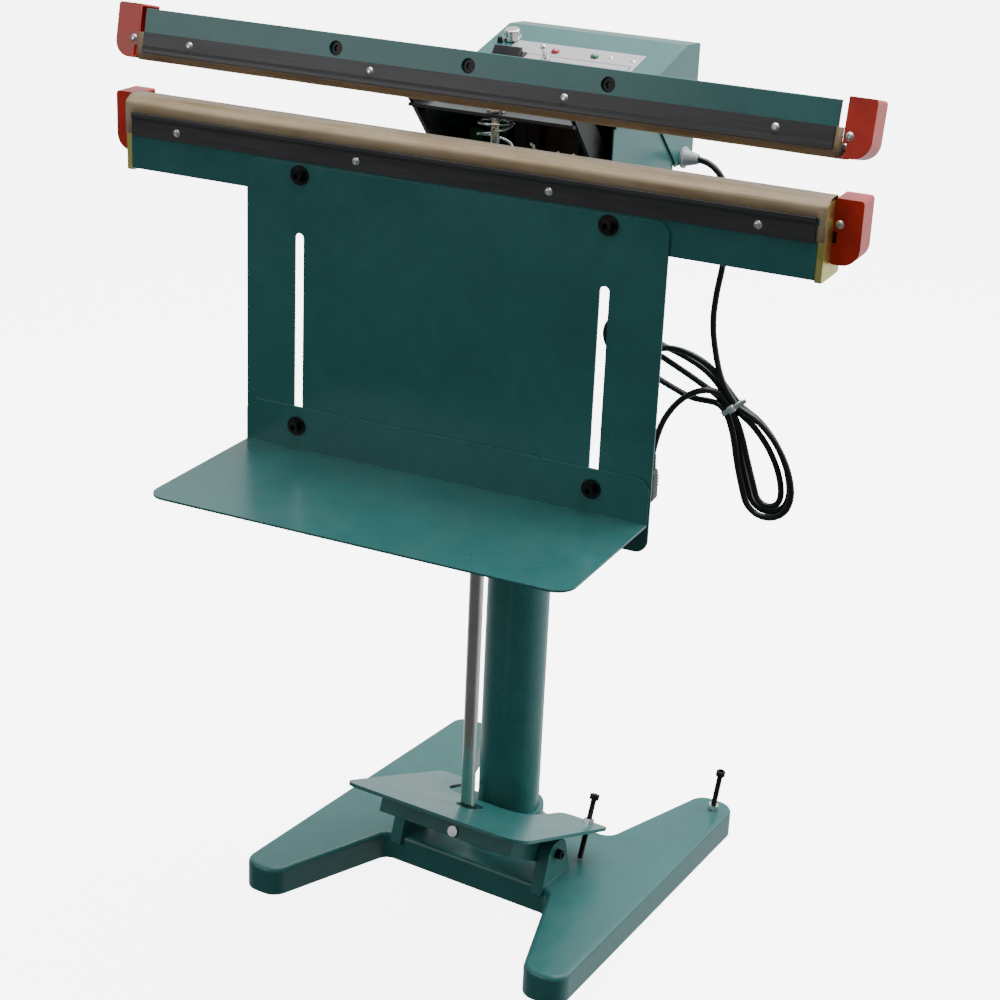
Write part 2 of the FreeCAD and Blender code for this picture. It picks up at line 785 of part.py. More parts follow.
def rocker_frame():
    """The rocker's bezel and its snap-in body below the cover."""
    deep = rocker_depth / 2
    bezel = block(-rocker_half, rocker_half, -deep, deep, 0.05, 2.5)
    snap = rocker_wall + 0.2
    rim = snap + rocker_wall
    body = block(-rocker_half + snap, rocker_half - snap, -deep + snap, deep - snap, -16, 1)
    well = block(-rocker_half + rim, rocker_half - rim, -deep + rim, deep - rim, -12, 5)
    body_w = 2 * (rocker_half - snap)
    pin_holes = rod(V(-body_w / 2, 0, -1.5), 1.5 + running_clearance, body_w, along_x)
    return panel_place(joined([bezel, body]).cut([well, pin_holes]), rocker_x, rocker_y)


def power_rocker():
    deep = rocker_depth / 2 - 4.2
    half = rocker_half - 2 * rocker_wall - 0.2 - rocker_tilt_gap
    section = [(-deep, -5, 1), (deep, -5, 1), (deep + 0.6, 8.6, 1), (deep - 2.2, 9.4, 1), (-deep, 2.2, 1)]
    paddle = side(section, -half, half)
    pin_reach = half + rocker_tilt_gap + rocker_wall * 0.8
    pins = rod(V(-pin_reach, 0, -1.5), 1.5, 2 * pin_reach, along_x)
    return panel_place(joined([paddle, pins]), rocker_x, rocker_y)


def toggle_body():
    case = block(-6, 6, -5, 5, -18, -sheet_t - 0.05)
    bush = rod(V(0, 0, -sheet_t - 0.05), 3.0, sheet_t + 6.0)
    body = joined([case, bush, hex_prism(V(0, 0, panel_t + 0.1), 5.2, 2.0)])
    ball_room = Part.makeSphere(2.2 + running_clearance, V(0, 0, toggle_pivot_z))
    funnel = Part.makeCone(1.6, 2.8, 6.0, V(0, 0, toggle_pivot_z))
    pin_room = toggle_pin(running_clearance)
    return panel_place(body.cut([ball_room, funnel, pin_room]), toggle_x, toggle_y)


def toggle_pin(spare):
    reach = toggle_pin_half + spare
    return rod(V(-reach, 0, toggle_pivot_z), toggle_pin_r + spare, 2 * reach, along_x)


def toggle_lever():
    ball = Part.makeSphere(2.2, V(0, 0, toggle_pivot_z))
    stem = Part.makeCone(1.1, 2.8, 11.0, V(0, 0, 3.5))
    tip = Part.makeSphere(3.0, V(0, 0, 14.0))
    lever = joined([ball, stem, tip, toggle_pin(0)])
    lever = turned(lever, V(0, 0, toggle_pivot_z), along_x, toggle_travel / 2)
    return panel_place(lever, toggle_x, toggle_y)


def fuse_cap():
    ring = rod(V(0, 0, 0.05), fuse_r + 0.5, 2.0)
    cap = rod(V(0, 0, 2.05), fuse_r, 3.2)
    slot = block(-fuse_r - 1, fuse_r + 1, -0.4, 0.4, 4.4, 6.0)
    return panel_place(joined([ring, cap]).cut(slot), fuse_x, fuse_y)


def lamp(x):
    """A domed lens in a collar, with its body under the cover."""
    collar = rod(V(0, 0, panel_t + 0.05), lamp_r, 1.2)
    dome = Part.makeSphere(lamp_r * 1.15, V(0, 0, -0.6)).common(rod(V(0, 0, 1.9), lamp_r * 0.85, 10))
    stem = rod(V(0, 0, -12), lamp_r - 1.0, 13)
    return panel_place(joined([collar, dome, stem]), x, lamp_y)


def panel_screws():
    heads = []
    for x, y in panel_screw_places:
        head = Part.makeSphere(3.2, V(0, 0, panel_t - 1.9)).common(rod(V(0, 0, panel_t), 4.0, 4.0))
        heads.append(panel_place(head, x, y))
    return group(heads)


def transformer():
    """A laminated core with its winding, on the chassis floor behind the hinge."""
    half, leg = core_half, core_leg
    window = half - leg
    low, high = beam_bottom + leg, beam_bottom + core_height - leg
    core = block(-half, half, core_front_y, core_rear_y, beam_bottom, beam_bottom + core_height)
    for x0, x1 in ((-window, -leg), (leg, window)):
        core = core.cut(block(x0, x1, core_front_y - 10, core_rear_y + 10, low, high))
    coil_front, coil_rear = core_front_y - coil_over, core_rear_y + coil_over / 2
    coil = block(1 - window, window - 1, coil_front, coil_rear, low + 1, high - 1)
    middle = block(-leg, leg, core_front_y - 20, core_rear_y + 20, low - 5, high + 5)
    return group([core, coil.cut(middle)])


def circuit_board():
    """The timing board on four posts, with a relay, a capacitor and a fuse block."""
    under = beam_bottom + board_post_h
    top = under + board_t
    inset = board_post_r + 1.5
    board = block(board_left, board_right, board_front_y, board_rear_y, under, top)
    relay = block(board_left + 4, board_left + 18, board_front_y + 7, board_front_y + 25, top, top + 15.4)
    capacitor = rod(V(board_right - 10, board_front_y + 40, top), 6.0, 20.0)
    fuses = block(board_left + 4, board_left + 26, board_rear_y - 33, board_rear_y - 13, top, top + 11.4)
    post_x = (board_left + inset, board_right - inset)
    post_y = (board_front_y + inset, board_rear_y - inset)
    posts = [rod(V(x, y, beam_bottom), board_post_r, board_post_h) for x in post_x for y in post_y]
    return joined([board, relay, capacitor, fuses] + posts)


def micro_switch():
    """The switch that the closing jaw works, on a foot beside the hinge."""
    left, right = switch_x - switch_half, switch_x + switch_half
    pin_y, pin_z = switch_pin_y, beam_bottom + switch_pin_h
    foot = block(left, right, pin_y - 26, pin_y + 2, beam_bottom, beam_bottom + 3)
    case = block(left, right, pin_y - 22, pin_y - 2, beam_bottom + 3, pin_z - 4)
    post = block(left, right, pin_y - 2, pin_y + 2, beam_bottom + 3, pin_z + 2)
    pin_hole = rod(V(left - 5, pin_y, pin_z), 1.0, 4 * switch_half, along_x)
    fork = block(left + 2, right - 2, pin_y - 2.6, pin_y + 3, pin_z - 2.8, pin_z + 3)
    return joined([foot, case, post]).cut([pin_hole, fork])


def switch_lever():
    """The switch's spring blade, with the small eye that turns on its pin."""
    half = switch_half - 2.4
    pin_y, pin_z = switch_pin_y, beam_bottom + switch_pin_h
    left, right = switch_x - half, switch_x + half
    eye = block(left, right, pin_y - 1.4, pin_y + 1.4, pin_z - 0.6, pin_z + 0.6)
    blade = block(left, right, pin_y - 24, pin_y, pin_z - switch_blade_t / 2, pin_z + switch_blade_t / 2)
    pin = rod(V(switch_x - switch_half, pin_y, pin_z), 1.0 - running_clearance, 2 * switch_half, along_x)
    return joined([eye, blade, pin])


def terminal_block():
    """The block where the element's leads meet, with a wing nut on its stud."""
    body = block(wing_x - 11, wing_x + 10, wing_y - 8, wing_y + 8, beam_bottom, terminal_top)
    return body.cut(rod(V(wing_x, wing_y, terminal_top - 8), 2.6, 20))


def wing_nut():
    base = terminal_top
    hub = Part.makeCone(5.5, 4.0, 7, V(0, wing_y, base))
    right = front([(0, base + 1, 0), (9.5, base + 9, 1.5), (8.5, base + 17, 1.5), (2, base + 7, 1)],
                  wing_y - 1.2, wing_y + 1.2)
    stud = rod(V(0, wing_y, base - 7), 2.5, 16)
    body = joined([hub, stud, right, mirrored(right)])
    body.translate(V(wing_x, 0, 0))
    return body


def wire_hook():
    """A plain wire hook standing on the chassis floor beside the spring."""
    x, y, r = hook_x, hook_y, hook_r
    stem = rod(V(x, y, beam_bottom), r, hook_top - beam_bottom)
    bend = Part.makeTorus(hook_bend_r, r, V(x - hook_bend_r, y, hook_top), along_y, 0, 360, 180)
    bend = bend.common(block(x - 12, x + 5, y - 5, y + 5, hook_top, hook_top + 16))
    return joined([stem, Part.makeSphere(r, V(x, y, hook_top)), bend])


# ---- Lower jaw

def jaw_outline(inset):
    """The lower jaw's section above its channel, moved inwards by inset."""
    f = beam_front_y + inset
    b = beam_front_y + crown_depth - inset
    t = jaw_top - inset
    return [(f, beam_top, 0), (f, t - 6, 4), (f + 9, t, jaw_round - 6), (b, t, 5), (b, beam_top, 0)]


def lower_beam():
    f, b = beam_front_y, beam_front_y + beam_depth
    section = [(f, beam_bottom, 2), (b, beam_bottom, 2), (b, beam_top, 0), (f, beam_top, 0)]
    body = side(section, -jaw_half, jaw_half)
    reach = jaw_half + 1
    room = block(-reach, reach, f + beam_wall, b - beam_wall, beam_bottom + beam_wall, beam_top + 5)
    body = body.cut(room)
    cuts = jaw_screw_holes(jaw_screw_z)
    cuts += [rod(V(x, f - 5, plate_screw_z), m6_r + hole_clearance, 12, along_y) for x in (-slot_x, slot_x)]
    return body.cut(cuts)


def lower_core():
    """The plated bar that fills the channel, with an end plate at each end."""
    f, b = beam_front_y + beam_wall, beam_front_y + beam_depth - beam_wall
    bar = block(-jaw_half, jaw_half, f, b, beam_top - core_depth, beam_top)
    crown = side(jaw_outline(cloth_t), -jaw_half, jaw_half)
    pieces = [bar, crown]
    for sign in (-1, 1):
        x0 = jaw_half if sign > 0 else -jaw_half - core_end_t
        pieces.append(side(end_plate_outline(), x0, x0 + core_end_t))
    body = joined(pieces)
    body = body.cut(jaw_screw_holes(jaw_screw_z))
    return body.cut(element_strip(jaw_half + core_end_t + 1, cloth_t))


def end_plate_outline():
    """An end plate's outline: the channel's section with a step up under the crown."""
    f, b = beam_front_y + crown_step, beam_front_y + beam_depth - crown_step
    crown_b = beam_front_y + crown_depth - crown_step
    low, high = beam_bottom - 2, jaw_top - 4
    return [(f, low, 2), (b, low, 2), (b, beam_top - crown_step, 3), (crown_b, beam_top - crown_step, 0),
            (crown_b, high, 3), (f + 5, high, 5), (f, beam_top - 4, 2)]


def element_strip(half_length, spare):
    """The ribbon in its groove under the cloth; spare carries it up through the crown's top."""
    top = jaw_top - cloth_t
    return block(-half_length, half_length, element_y - element_w / 2, element_y + element_w / 2,
                 top - element_t, top + spare)


def heating_element():
    return element_strip(jaw_half, 0)


def lower_cloth():
    reach = jaw_half + core_end_t
    skin = side(jaw_outline(0), -reach, reach)
    inner = jaw_outline(cloth_t)
    inner = [(inner[0][0], beam_top - 5, 0)] + inner[1:4] + [(inner[4][0], beam_top - 5, 0)]
    skin = skin.cut(side(inner, -reach - 1, reach + 1))
    f, b = beam_front_y - 5, beam_front_y + beam_depth + 5
    return skin.cut(block(-reach - 1, reach + 1, f, b, beam_top - 5, beam_top + 0.05))


def clamp_strip(x_half, y, low, high, lip):
    """A folded strip that clamps the cloth: flat on the jaw, with its far edge turned outwards."""
    flat = block(-x_half, x_half, y - strip_t, y, low, high)
    far, near = y - strip_t - strip_lip, y - strip_t + 0.2
    if lip > 0:
        edge = [(far, high - 3.5, 0.5), (near, high - 7, 0), (y - 0.2, high, 0.5), (far, high, 0.5)]
    else:
        edge = [(far, low, 0.5), (y - 0.2, low, 0.5), (near, low + 7, 0), (far, low + 3.5, 0.5)]
    return joined([flat, side(edge, -x_half, x_half)])


def lower_strip():
    strip = clamp_strip(jaw_half - 2, beam_front_y, strip_low, strip_high, 1)
    return strip.cut(jaw_screw_holes(jaw_screw_z))


def cap_screw_x():
    return jaw_half + core_end_t + 5.0


def lower_jaw_screws():
    screws = [jaw_screw(x, beam_front_y - strip_t, jaw_screw_z, 11) for x in jaw_screw_x]
    z = (cap_low + cap_high) / 2 + 6
    screws += [jaw_screw(sign * cap_screw_x(), cap_front_y, z, cap_wall + 1.5) for sign in (-1, 1)]
    return group(screws)


def end_cap(front_y, rear_y, low, high):
    """A right-hand moulded cap, open towards the jaw, with its outer lower corner rounded."""
    x0 = jaw_half + core_end_t
    x1 = x0 + cap_length
    shell = front([(x0, low, 2), (x1, low, cap_round), (x1, high, 3), (x0, high, 1)], front_y, rear_y)
    hollow = front([(x0 - 5, low + cap_wall, 0), (x1 - cap_wall, low + cap_wall, cap_round - cap_wall),
                    (x1 - cap_wall, high - cap_wall, 1), (x0 - 5, high - cap_wall, 0)],
                   front_y + cap_wall, rear_y - cap_wall)
    return shell.cut(hollow)


def cap_pair(front_y, rear_y, low, high, screw_z):
    cap = end_cap(front_y, rear_y, low, high)
    x0 = jaw_half + core_end_t
    cap = cap.cut(block(x0 - 1, x0 + 3.5, front_y - 1, front_y + cap_wall + 1, screw_z - 16, screw_z - 6))
    cap = cap.cut(rod(V(cap_screw_x(), front_y - 1, screw_z), strip_screw_r + hole_clearance, 6, along_y))
    return group([cap, mirrored(cap)])


def lower_caps():
    return cap_pair(cap_front_y, beam_front_y + beam_depth, cap_low, cap_high, (cap_low + cap_high) / 2 + 6)


# ---- Upper jaw, all drawn closed

def upper_beam():
    f, b = upper_front_y, upper_front_y + upper_depth
    foot_top = upper_foot_z + upper_foot_t
    section = [(f, upper_foot_z, 0), (b, upper_foot_z, 0), (b, foot_top, 2),
               (f + upper_plate_t, foot_top, 3), (f + upper_plate_t, upper_top, 1), (f, upper_top, 1)]
    body = side(section, -jaw_half, jaw_half)
    cuts = [rod(V(x, f - 5, jaw_bolt_z), jaw_bolt_r, 20, along_y) for x in jaw_bolt_x]
    cuts += jaw_screw_holes(upper_screw_z)
    return opened(body.cut(cuts))


def upper_face():
    return jaw_top + seal_gap + cloth_t


def upper_silicone():
    f, b = upper_front_y, upper_front_y + upper_depth
    foot, face = upper_foot_z, upper_face()
    section = [(f + 0.6, foot, 0), (f + 4, face, 3), (b - 4, face, 3), (b - 0.6, foot, 0)]
    return opened(side(section, -jaw_half, jaw_half))


def upper_cloth():
    """The cloth under the upper jaw, from the clamp strip round to the rear."""
    f, b = upper_front_y, upper_front_y + upper_depth
    reach = jaw_half + core_end_t
    low = upper_face()
    foot, rear_high, high = upper_foot_z, upper_foot_z + 7, upper_strip_low + 30
    outer = [(f, upper_strip_low + 3, 0), (f - cloth_t, foot + 0.5, 0), (f + 3.6, low - cloth_t, 3.5),
             (b - 3.6, low - cloth_t, 3.5), (b + cloth_t, foot + 0.5, 0), (b + cloth_t, rear_high, 0),
             (b, rear_high, 0)]
    inner = [(f, high, 0), (f, foot, 0), (f + 0.6, foot, 0), (f + 4, low, 3),
             (b - 4, low, 3), (b - 0.6, foot, 0), (b, foot, 0), (b, high, 0)]
    outer = side(outer, -reach, reach)
    inner = side(inner, -reach - 1, reach + 1)
    strip_room = block(-reach - 1, reach + 1, f - 9, f, upper_strip_low, upper_strip_high)
    return opened(outer.cut([inner, strip_room]))


def upper_strip():
    strip = clamp_strip(jaw_half - 1, upper_front_y, upper_strip_low, upper_strip_high, 0)
    return opened(strip.cut(jaw_screw_holes(upper_screw_z)))


def upper_cap_screw_z():
    return upper_foot_z + 14


def upper_jaw_screws():
    screws = [jaw_screw(x, upper_front_y - strip_t, upper_screw_z, 9) for x in jaw_screw_x]
    for sign in (-1, 1):
        screws.append(jaw_screw(sign * cap_screw_x(), upper_front_y, upper_cap_screw_z(), cap_wall + 1.5))
    return opened(group(screws))


def upper_caps():
    low, high = upper_face() + 0.4, upper_top + 3.5
    return opened(cap_pair(upper_front_y, upper_front_y + upper_depth, low, high, upper_cap_screw_z()))


def jaw_bracket():
    """The bar behind the upper beam, its two arms to the hinge, and the bridge that the rod pulls."""
    f = upper_front_y + upper_plate_t
    bar = block(-bar_half, bar_half, f, f + bar_t, jaw_bolt_z - bar_h / 2, jaw_bolt_z + bar_h / 2)
    pieces = [bar]
    boss, boss_round = arm_boss_r, arm_boss_r * 0.9
    over_foot = upper_foot_z + upper_foot_t + 0.6
    arm_top = jaw_bolt_z + bar_h / 2 - 1
    arm = [(f + 2, jaw_bolt_z - bar_h / 2, 0), (f + 12, over_foot, 2), (f + 28, over_foot, 6),
           (hinge_y - boss, hinge_z - boss, boss_round), (hinge_y + boss, hinge_z - boss, boss_round),
           (hinge_y + boss, hinge_z + boss, boss_round), (hinge_y - 8, hinge_z + boss + 2, 8),
           (f + 26, arm_top, 10), (f + 2, arm_top, 0)]
    for sign in (-1, 1):
        x0 = arm_x - arm_t if sign > 0 else -arm_x
        pieces.append(side(arm, x0, x0 + arm_t))
    pieces.append(bridge())
    body = joined(pieces)
    cuts = [rod(V(-200, hinge_y, hinge_z), hinge_r + running_clearance, 400, along_x)]
    cuts += [rod(V(x, f - 1, jaw_bolt_z), m6_r + hole_clearance, 30, along_y) for x in jaw_bolt_x]
    return opened(body.cut(cuts))


def bridge():
    """The slotted plate between the arms; it leans as far back when open as forward when closed."""
    deep = bridge_half_depth
    plate = block(-arm_x + 1, arm_x - 1, -deep, deep + 6, -bridge_t / 2, bridge_t / 2)
    shift = (bridge_z - hinge_z) * math.sin(math.radians(open_angle)) * 1.25
    ends = stud_r + 1.2
    slot = plan([(-ends, -ends, ends * 0.98), (ends, -ends, ends * 0.98), (ends, shift + ends, ends * 0.98),
                 (-ends, shift + ends, ends * 0.98)], -5, 5)
    plate = turned(plate.cut(slot), V(0, 0, 0), along_x, open_angle / 2)
    plate.translate(V(0, bridge_y, bridge_z))
    return plate


def jaw_bolts():
    """Three black socket screws, sunk in the upper beam, that hold it to its bar."""
    f = upper_front_y + upper_plate_t
    bolts = []
    for x in jaw_bolt_x:
        tip = V(x, f + bar_t, jaw_bolt_z)
        seat = V(x, f - jaw_bolt_head_h, jaw_bolt_z)
        head = rod(seat, jaw_bolt_r - jaw_bolt_gap, jaw_bolt_head_h, along_y)
        head = head.cut(hex_prism(seat - along_y, 3.2, 2.6, along_y))
        bolts.append(head.fuse(rod(tip, m6_r, bar_t, V(0, -1, 0))).removeSplitter())
    return opened(group(bolts))


# ---- Backboard and tray

def back_plate():
    c = plate_corner
    f = beam_front_y - plate_t
    body = front([(-plate_half, plate_low, c), (plate_half, plate_low, c), (plate_half, plate_high, c),
                  (-plate_half, plate_high, c)], f, beam_front_y)
    cuts = []
    for x in (-slot_x, slot_x):
        left, right, end = x - slot_r, x + slot_r, slot_r * 0.99
        slot = [(left, slot_low, end), (right, slot_low, end), (right, slot_high, end), (left, slot_high, end)]
        cuts.append(front(slot, f - 1, beam_front_y + 1))
        cuts.append(rod(V(x, f - 1, plate_screw_z), m6_r + hole_clearance, 9, along_y))
    return body.cut(cuts)


def washer(x, y, z, radius=washer_r):
    ring = rod(V(x, y, z), radius, washer_t, along_y)
    return ring.cut(rod(V(x, y - 1, z), m6_r + hole_clearance, 9, along_y))


def plate_screws():
    f = beam_front_y - plate_t
    pieces = []
    for x in (-slot_x, slot_x):
        length = m6_head_h + washer_t + plate_t + beam_wall + 4
        tip = V(x, f - washer_t - m6_head_h + length, plate_screw_z)
        pieces.append(socket_bolt(tip, length, -along_y))
        pieces.append(washer(x, f - washer_t, plate_screw_z))
    return group(pieces)


def stop_screws():
    """Two upright screws behind the lower jaw, in the chassis floor."""
    pieces = []
    for x in (-stop_screw_x, stop_screw_x):
        foot = V(x, stop_screw_y, beam_bottom - floor_t - 3)
        pieces.append(socket_bolt(foot, stop_screw_length, along_z))
    return group(pieces)


def tray_front():
    return beam_front_y - plate_t - part_gap - plate_t


def tray():
    f = tray_front()
    c = plate_corner
    flange = front([(-tray_half, tray_z, 0), (tray_half, tray_z, 0), (tray_half, tray_z + tray_flange, c),
                    (-tray_half, tray_z + tray_flange, c)], f, f + plate_t)
    far = f + plate_t - tray_reach
    shelf = [(-tray_half, f + plate_t, 0), (-tray_half, far, tray_corner), (tray_half, far, tray_corner),
             (tray_half, f + plate_t, 0)]
    body = joined([flange, plan(shelf, tray_z - plate_t, tray_z)])
    cuts = [rod(V(x, f - 1, tray_screw_z), m6_r + hole_clearance, 9, along_y) for x in (-slot_x, slot_x)]
    return body.cut(cuts)


def tray_screws():
    """Clamp screws through the tray and the slots, with washers and nuts behind the backboard."""
    f = tray_front()
    back = beam_front_y + part_gap
    pieces = []
    for x in (-slot_x, slot_x):
        length = m6_head_h + washer_t + (back - f) + washer_t + m6_nut_h + 2
        tip = V(x, f - washer_t - m6_head_h + length, tray_screw_z)
        pieces.append(socket_bolt(tip, length, -along_y))
        pieces.append(washer(x, f - washer_t, tray_screw_z))
        pieces.append(washer(x, back, tray_screw_z, washer_r - 1))
        pieces.append(nut(V(x, back + washer_t, tray_screw_z), along_y))
    return group(pieces)


# ---- Mains lead

def cord_gland():
    """The strain relief: a flange on the cover, a tapered nose, and a threaded neck inside the wall."""
    start = V(cover_half, gland_y, gland_z)
    inner = start - along_x * (sheet_t + gland_neck)
    nose = start + along_x * gland_flange_t
    flange = rod(start, gland_r, gland_flange_t, along_x)
    taper = Part.makeCone(gland_body_r, cord_d / 2 + 1.6, gland_length - gland_flange_t, nose, along_x)
    neck = rod(inner, gland_bore_r - hole_clearance, (start - inner).Length + 0.5, along_x)
    bore = rod(supply_route[0], cord_d / 2 + running_clearance, gland_length, along_x)
    return joined([flange, taper, neck]).cut(bore)


def bent_path(route):
    """Straight runs joined by tangent arcs, each as large as its two runs allow. Returns wire and length."""
    edges, radii, length = [], [], 0.0
    here = route[0]
    for k in range(1, len(route) - 1):
        before = route[k - 1] - route[k]
        after = route[k + 1] - route[k]
        half_turn = (math.pi - before.getAngle(after)) / 2
        step = 0.45 * min(before.Length, after.Length)
        radius = step / math.tan(half_turn)
        start = route[k] + V(before).normalize() * step
        end = route[k] + V(after).normalize() * step
        inward = (V(before).normalize() + V(after).normalize()).normalize()
        middle = route[k] + inward * (radius / math.cos(half_turn) - radius)
        edges.append(Part.LineSegment(here, start).toShape())
        edges.append(Part.Arc(start, middle, end).toShape())
        radii.append(radius)
        length += (start - here).Length + radius * 2 * half_turn
        here = end
    edges.append(Part.LineSegment(here, route[-1]).toShape())
    length += (route[-1] - here).Length
    return Part.Wire(edges), radii, length


def cord_tube(name, route):
    path, radii, length = bent_path(route)
    way = (route[1] - route[0]).normalize()
    section = Part.Wire(Part.makeCircle(cord_d / 2, route[0], way))
    tube = path.makePipeShell([section], True, False)
    share = tube.Volume / (math.pi * cord_d ** 2 / 4 * length)
    tightest = round(min(radii), 1)
    print(name, "tightest bend", tightest, "length", round(length, 1), "volume ratio", round(share, 4))
    return tube


def teardrop(near, near_r, far, far_r):
    """A flat closed outline round two circles in the hank's plane, as thick as the hank's neck."""
    thick = 2 * neck_r - 2
    span = far - near
    lean = math.asin((far_r - near_r) / span.Length)
    along = V(span).normalize()
    across = V(along.z, 0, -along.x)
    rim = []
    for sign in (1, -1):
        out = across * (sign * math.cos(lean)) - along * math.sin(lean)
        rim.append((near + out * near_r, far + out * far_r))
    near_back = near - along * near_r
    far_tip = far + along * far_r
    runs = [Part.LineSegment(rim[0][0], rim[0][1]), Part.Arc(rim[0][1], far_tip, rim[1][1]),
            Part.LineSegment(rim[1][1], rim[1][0]), Part.Arc(rim[1][0], near_back, rim[0][0])]
    slab = Part.Face(Part.Wire([run.toShape() for run in runs])).extrude(V(0, thick, 0))
    slab.translate(V(0, -thick / 2, 0))
    return slab


def neck_direction():
    return V(0.64, 0, -0.77).normalize()


def cord_hank():
    """The tied hank: a lower and an upper bundle of loops that share one neck."""
    way = neck_direction()
    clear = tie_width / 2 + 0.4
    lower = teardrop(tie_point + way * (clear + neck_r), neck_r, hank_lower, hank_lower_r)
    upper = teardrop(tie_point - way * (clear + neck_r), neck_r, hank_upper, hank_upper_r)
    neck = rod(tie_point - way * (clear + 5), neck_r - 1.2, 2 * clear + 10, way)
    return joined([lower, upper, neck])


def cord_tie():
    way = neck_direction()
    start = tie_point - way * (tie_width / 2)
    band = rod(start, neck_r - 1.2 + tie_t, tie_width, way)
    lock = block(-3.5, 3.5, -2.8, 2.8, -3.5, 3.5)
    seat = tie_point - along_y * (neck_r + tie_t)
    lock.Placement = FreeCAD.Placement(seat, FreeCAD.Rotation(along_z, way))
    return joined([band, lock]).cut(rod(start - way, neck_r - 1.2, tie_width + 2, way))


def plug():
    """A moulded plug hanging by its ribbed strain relief, blades down."""
    end = tail_route[-1]
    way = (tail_route[-1] - tail_route[-2]).normalize()
    relief = Part.makeCone(cord_d / 2 + 1.2, 5.2, relief_h, V(0, 0, 0), V(0, 0, -1))
    w, d, top, low = plug_w / 2, plug_d / 2, -relief_h, -relief_h - plug_h
    body = front([(-w * 0.62, top, 3), (-w, low, 3), (w, low, 3), (w * 0.62, top, 3)], -d, d)
    body = body.makeFillet(2.0, [e for e in body.Edges if abs(e.BoundBox.YMax - e.BoundBox.YMin) < 0.01])
    blades = [block(x - 0.8, x + 0.8, -3.2, 3.2, low - blade_h, low) for x in (-6.3, 6.3)]
    pin = rod(V(0, 5.5, low - blade_h - 2), 2.3, blade_h + 2)
    shape = joined([relief, body, pin] + blades)
    shape.Placement = FreeCAD.Placement(end, FreeCAD.Rotation(V(0, 0, -1), way))
    return shape


def nodes():
    return {
        "base_casting": base_casting(),
        "column_fasteners": group([collar_screws(), head_bolts()]),
        "levelling_bolt": levelling_bolt(),
        "levelling_nut": levelling_nut(),
        "column": column(),
        "pedal_pivot_bolt": pedal_pivot_bolt(),
        "foot_pedal": pedal_plate(),
        "rod_pin": rod_pin(),
        "pedal_stop_bolt": pedal_stop_bolt(),
        "pedal_stop_nut": pedal_stop_nut(),
        "pull_rod": pull_rod(),
        "rod_nuts": rod_nuts(),
        "return_spring": return_spring(),
        "column_head": column_head(),
        "chassis": chassis(),
        "hinge_shaft": hinge_shaft(),
        "top_cover": top_cover(),
        "rear_panel": rear_panel(),
        "control_panel": control_panel(),
        "timer_knob": timer_knob(),
        "rocker_frame": rocker_frame(),
        "power_rocker": power_rocker(),
        "toggle_body": toggle_body(),
        "toggle_lever": toggle_lever(),
        "fuse_cap": fuse_cap(),
        "power_lamp": lamp(lamp_places["power_lamp"]),
        "sealing_lamp": lamp(lamp_places["sealing_lamp"]),
        "panel_screws": panel_screws(),
        "transformer": transformer(),
        "circuit_board": circuit_board(),
        "micro_switch": micro_switch(),
        "switch_lever": switch_lever(),
        "terminal_block": terminal_block(),
        "wing_nut": wing_nut(),
        "wire_hook": wire_hook(),
        "lower_beam": lower_beam(),
        "lower_core": lower_core(),
        "heating_element": heating_element(),
        "lower_cloth": lower_cloth(),
        "lower_strip": lower_strip(),
        "lower_jaw_screws": lower_jaw_screws(),
        "lower_caps": lower_caps(),
        "upper_beam": upper_beam(),
        "upper_silicone": upper_silicone(),
        "upper_cloth": upper_cloth(),
        "upper_strip": upper_strip(),
        "upper_jaw_screws": upper_jaw_screws(),
        "upper_caps": upper_caps(),
        "jaw_bracket": jaw_bracket(),
        "jaw_bolts": jaw_bolts(),
        "back_plate": back_plate(),
        "plate_screws": group([plate_screws(), stop_screws()]),
        "tray": tray(),
        "tray_screws": tray_screws(),
        "cord_gland": cord_gland(),
        "cord_supply": cord_tube("supply", supply_route),
        "cord_hank": cord_hank(),
        "cord_tie": cord_tie(),
        "cord_tail": cord_tube("tail", tail_route),
        "plug": plug(),
    }


def main():
    os.makedirs("parts", exist_ok=True)
    for name, shape in nodes().items():
        if not shape.isValid():
            print("invalid solid:", name)
        shape.exportStep(os.path.join("parts", name + ".step"))


main()
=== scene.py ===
import bmesh
import bpy
import math
from mathutils import Matrix, Vector


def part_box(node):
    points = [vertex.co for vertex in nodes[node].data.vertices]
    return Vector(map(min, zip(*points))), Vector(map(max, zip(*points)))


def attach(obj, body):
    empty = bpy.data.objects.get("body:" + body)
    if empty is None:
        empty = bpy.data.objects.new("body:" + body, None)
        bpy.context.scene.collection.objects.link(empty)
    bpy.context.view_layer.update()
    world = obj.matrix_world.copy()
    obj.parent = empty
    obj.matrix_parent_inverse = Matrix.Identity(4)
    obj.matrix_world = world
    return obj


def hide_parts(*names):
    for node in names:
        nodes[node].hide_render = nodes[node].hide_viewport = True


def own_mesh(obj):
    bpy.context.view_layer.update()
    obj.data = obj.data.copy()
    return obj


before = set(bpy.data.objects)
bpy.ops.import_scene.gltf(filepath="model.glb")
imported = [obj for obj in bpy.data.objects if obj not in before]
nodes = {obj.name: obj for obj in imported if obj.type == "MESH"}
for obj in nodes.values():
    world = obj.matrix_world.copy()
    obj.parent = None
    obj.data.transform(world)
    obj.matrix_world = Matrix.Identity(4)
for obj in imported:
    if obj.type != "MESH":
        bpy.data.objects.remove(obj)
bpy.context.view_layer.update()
mm = 0.001


